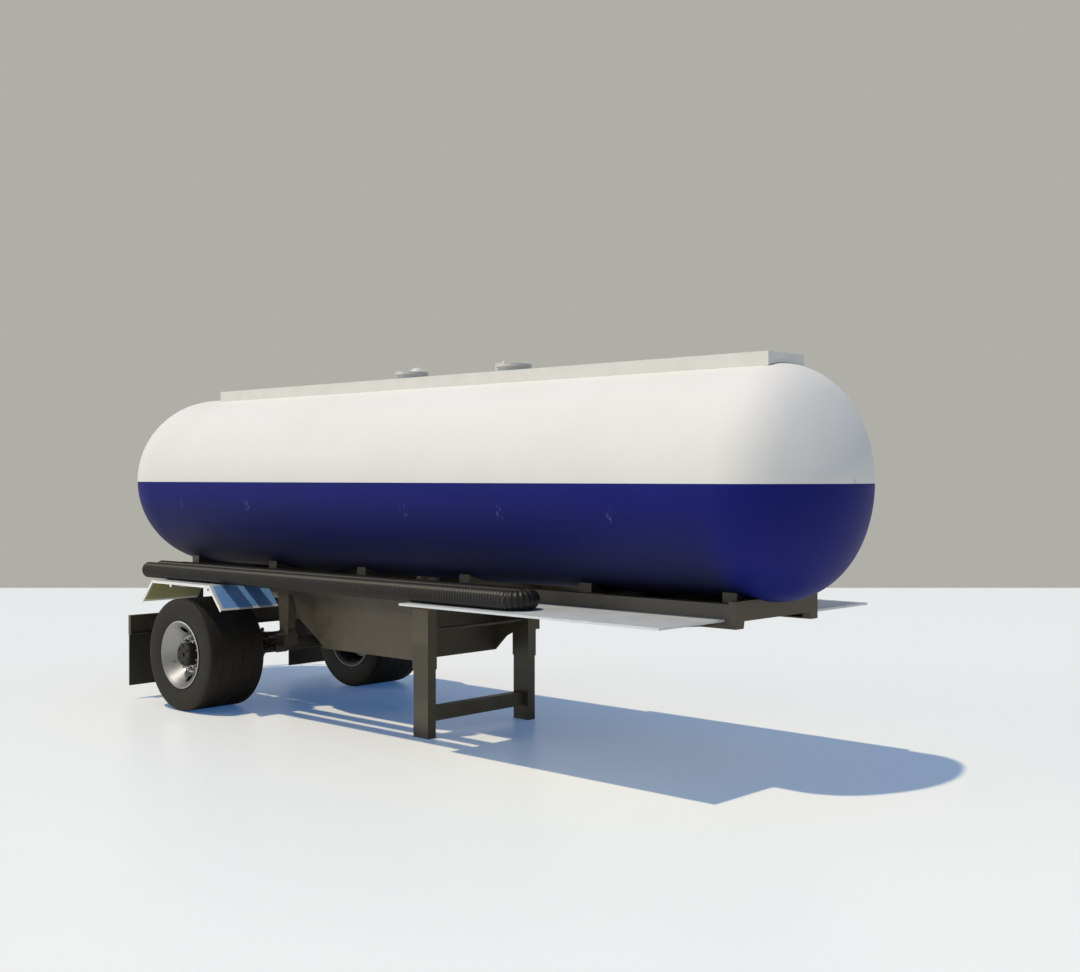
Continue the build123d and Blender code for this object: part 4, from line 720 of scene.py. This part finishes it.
for side, side_name in sides:
    fold_y = side * hose_mid_y
    outer_y, inner_y = side * (hose_mid_y + fold_r), side * (hose_mid_y - fold_r)
    select_nothing()
    bpy.ops.mesh.primitive_circle_add(vertices=20, radius=hose_root, rotation=(0, pi / 2, 0))
    hose = placed(f"ribbed_hose_{side_name}")
    bpy.ops.object.mode_set(mode="EDIT")
    bpy.ops.mesh.select_mode(type="EDGE")
    bpy.ops.mesh.select_all(action="SELECT")
    at, radius = 0.0, hose_root
    for share, next_r in ((0.22, hose_root), (0.42, hose_r), (0.76, hose_r), (1.0, hose_root)):
        bpy.ops.mesh.extrude_edges_move(TRANSFORM_OT_translate={"value": (share * pitch - at, 0, 0)})
        bpy.ops.transform.resize(value=(1, next_r / radius, next_r / radius),
                                 center_override=(share * pitch, 0, 0))
        at, radius = share * pitch, next_r
    bpy.ops.object.mode_set(mode="OBJECT")
    ribs = hose.modifiers.new("ribs", "ARRAY")
    ribs.count = rib_count
    ribs.use_merge_vertices = True
    ribs.merge_threshold = 0.0004
    bpy.ops.object.modifier_apply(modifier=ribs.name)
    bpy.ops.curve.primitive_bezier_curve_add()
    route = bpy.context.object
    bend = route.data.splines[0]
    bend.bezier_points.add(3)
    handle = fold_r * quarter_handle
    stops = ((outer_end, outer_y, 1.0, 0), (fold_x, outer_y, handle, 0),
             (fold_x + fold_r, fold_y, 0, -side * handle), (fold_x, inner_y, -handle, 0),
             (inner_end, inner_y, -1.0, 0))
    for point, (x, y, hx, hy) in zip(bend.bezier_points, stops):
        point.handle_left_type = point.handle_right_type = "FREE"
        point.co = (x, y, hose_z)
        point.handle_left = (x - hx, y - hy, hose_z)
        point.handle_right = (x + hx, y + hy, hose_z)
    route.data.resolution_u = 64
    route.data.use_path = True
    select_nothing()
    bpy.context.view_layer.objects.active = hose
    hose.select_set(True)
    follow = hose.modifiers.new("fold", "CURVE")
    follow.object = route
    follow.deform_axis = "POS_X"
    bpy.ops.object.modifier_apply(modifier=follow.name)
    bpy.data.objects.remove(route)
    bpy.ops.object.mode_set(mode="EDIT")
    bpy.ops.mesh.select_mode(type="EDGE")
    bpy.ops.mesh.select_all(action="DESELECT")
    bpy.ops.mesh.select_non_manifold()
    bpy.ops.mesh.edge_face_add()
    bpy.ops.mesh.inset(thickness=0.016)
    bpy.ops.mesh.select_all(action="SELECT")
    bpy.ops.mesh.normals_make_consistent(inside=False)
    bpy.ops.object.mode_set(mode="OBJECT")
    bpy.ops.object.shade_smooth_by_angle(angle=radians(50))
    dress(hose, hose_rubber)
    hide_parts(f"hose_{side_name}")


# The camera stands to the right of the front corner, level with the tank's middle.
# Its place, heading and lens were worked out from the photograph.
heading = radians(42.793)
pitch_down = radians(0.348)
camera_data = bpy.data.cameras.new("photo_camera")
camera_data.sensor_width = 36.0
camera_data.lens = 44.83
camera_data.clip_end = 200.0
camera = bpy.data.objects.new("photo_camera", camera_data)
bpy.context.collection.objects.link(camera)
bpy.context.scene.camera = camera
look = Vector((-sin(heading) * cos(pitch_down), cos(heading) * cos(pitch_down), -sin(pitch_down)))
camera.location = (8.8244, -8.1575, 2.160)
camera.rotation_euler = look.to_track_quat("-Z", "Y").to_euler()


# The studio floor is a pale, faintly glossy slab that ends a little way behind the trailer.
# Only the camera sees its faint cool lift, so it sheds no extra light on the trailer.
floor_w, floor_d = 60.0, 44.4
floor_forward = -7.8
select_nothing()
bpy.ops.mesh.primitive_plane_add(size=1.0)
floor = bpy.context.object
floor.name = "studio_floor"
bpy.ops.object.mode_set(mode="EDIT")
bpy.ops.mesh.select_all(action="SELECT")
bpy.ops.transform.resize(value=(floor_w, floor_d, 1.0))
bpy.ops.transform.translate(value=(0, floor_forward, 0))
bpy.ops.transform.rotate(value=-heading, orient_axis="Z", center_override=(0, 0, 0))
bpy.ops.object.mode_set(mode="OBJECT")
floor_paint, shader, place = new_material("pale_floor_paint")
gleam = add_node(floor_paint, "ShaderNodeLightPath")
lift = add_node(floor_paint, "ShaderNodeMath", {"operation": "MULTIPLY", 1: 0.165},
                {0: gleam.outputs["Is Camera Ray"]})
set_node(floor_paint, shader, {"Base Color": colour("#FBF8E6"), "Roughness": 0.35,
                               "Specular IOR Level": 0.25, "Emission Color": (0.12, 0.38, 1.0, 1.0)},
         {"Emission Strength": lift.outputs[0]})
floor.data.materials.append(floor_paint)


# A sun stands high on the right, a wide soft lamp shines in low from the right rear,
# and a cool sky fills in all round. The camera and mirrors see a plain grey backdrop.
def far_lamp(name, travels, energy, width_deg, tint):
    """Adds a far lamp by the direction in which its light travels."""
    lamp_data = bpy.data.lights.new(name, "SUN")
    lamp_data.energy = energy
    lamp_data.angle = radians(width_deg)
    lamp_data.color = tint
    lamp = bpy.data.objects.new(name, lamp_data)
    bpy.context.collection.objects.link(lamp)
    lamp.rotation_euler = Vector(travels).to_track_quat("-Z", "Y").to_euler()


far_lamp("soft_sun", (0.135, 0.342, -1.0), 2.4, 1.5, (1.0, 0.89, 0.70))
far_lamp("soft_side", (0.75, 0.75, -0.28), 0.55, 30.0, (1.0, 0.97, 0.90))
sky = bpy.data.worlds.new("studio_sky")
bpy.context.scene.world = sky
sky.use_nodes = True
sky.node_tree.nodes.clear()
rays = add_node(sky, "ShaderNodeLightPath")
seen = add_node(sky, "ShaderNodeBackground", {"Color": colour("#B0AFA7")})
fill = add_node(sky, "ShaderNodeBackground", {"Color": (0.38, 0.58, 1.0, 1.0), "Strength": 0.42})
direct = add_node(sky, "ShaderNodeMath", {"operation": "MAXIMUM"},
                  {0: rays.outputs["Is Camera Ray"], 1: rays.outputs["Is Glossy Ray"]})
mirrored = add_node(sky, "ShaderNodeMath", {"operation": "MAXIMUM"},
                    {0: direct.outputs[0], 1: rays.outputs["Is Transmission Ray"]})
blend = add_node(sky, "ShaderNodeMixShader",
                 links={0: mirrored.outputs[0], 1: fill.outputs[0], 2: seen.outputs[0]})
add_node(sky, "ShaderNodeOutputWorld", links={"Surface": blend.outputs[0]})
bpy.context.scene.view_settings.view_transform = "Standard"
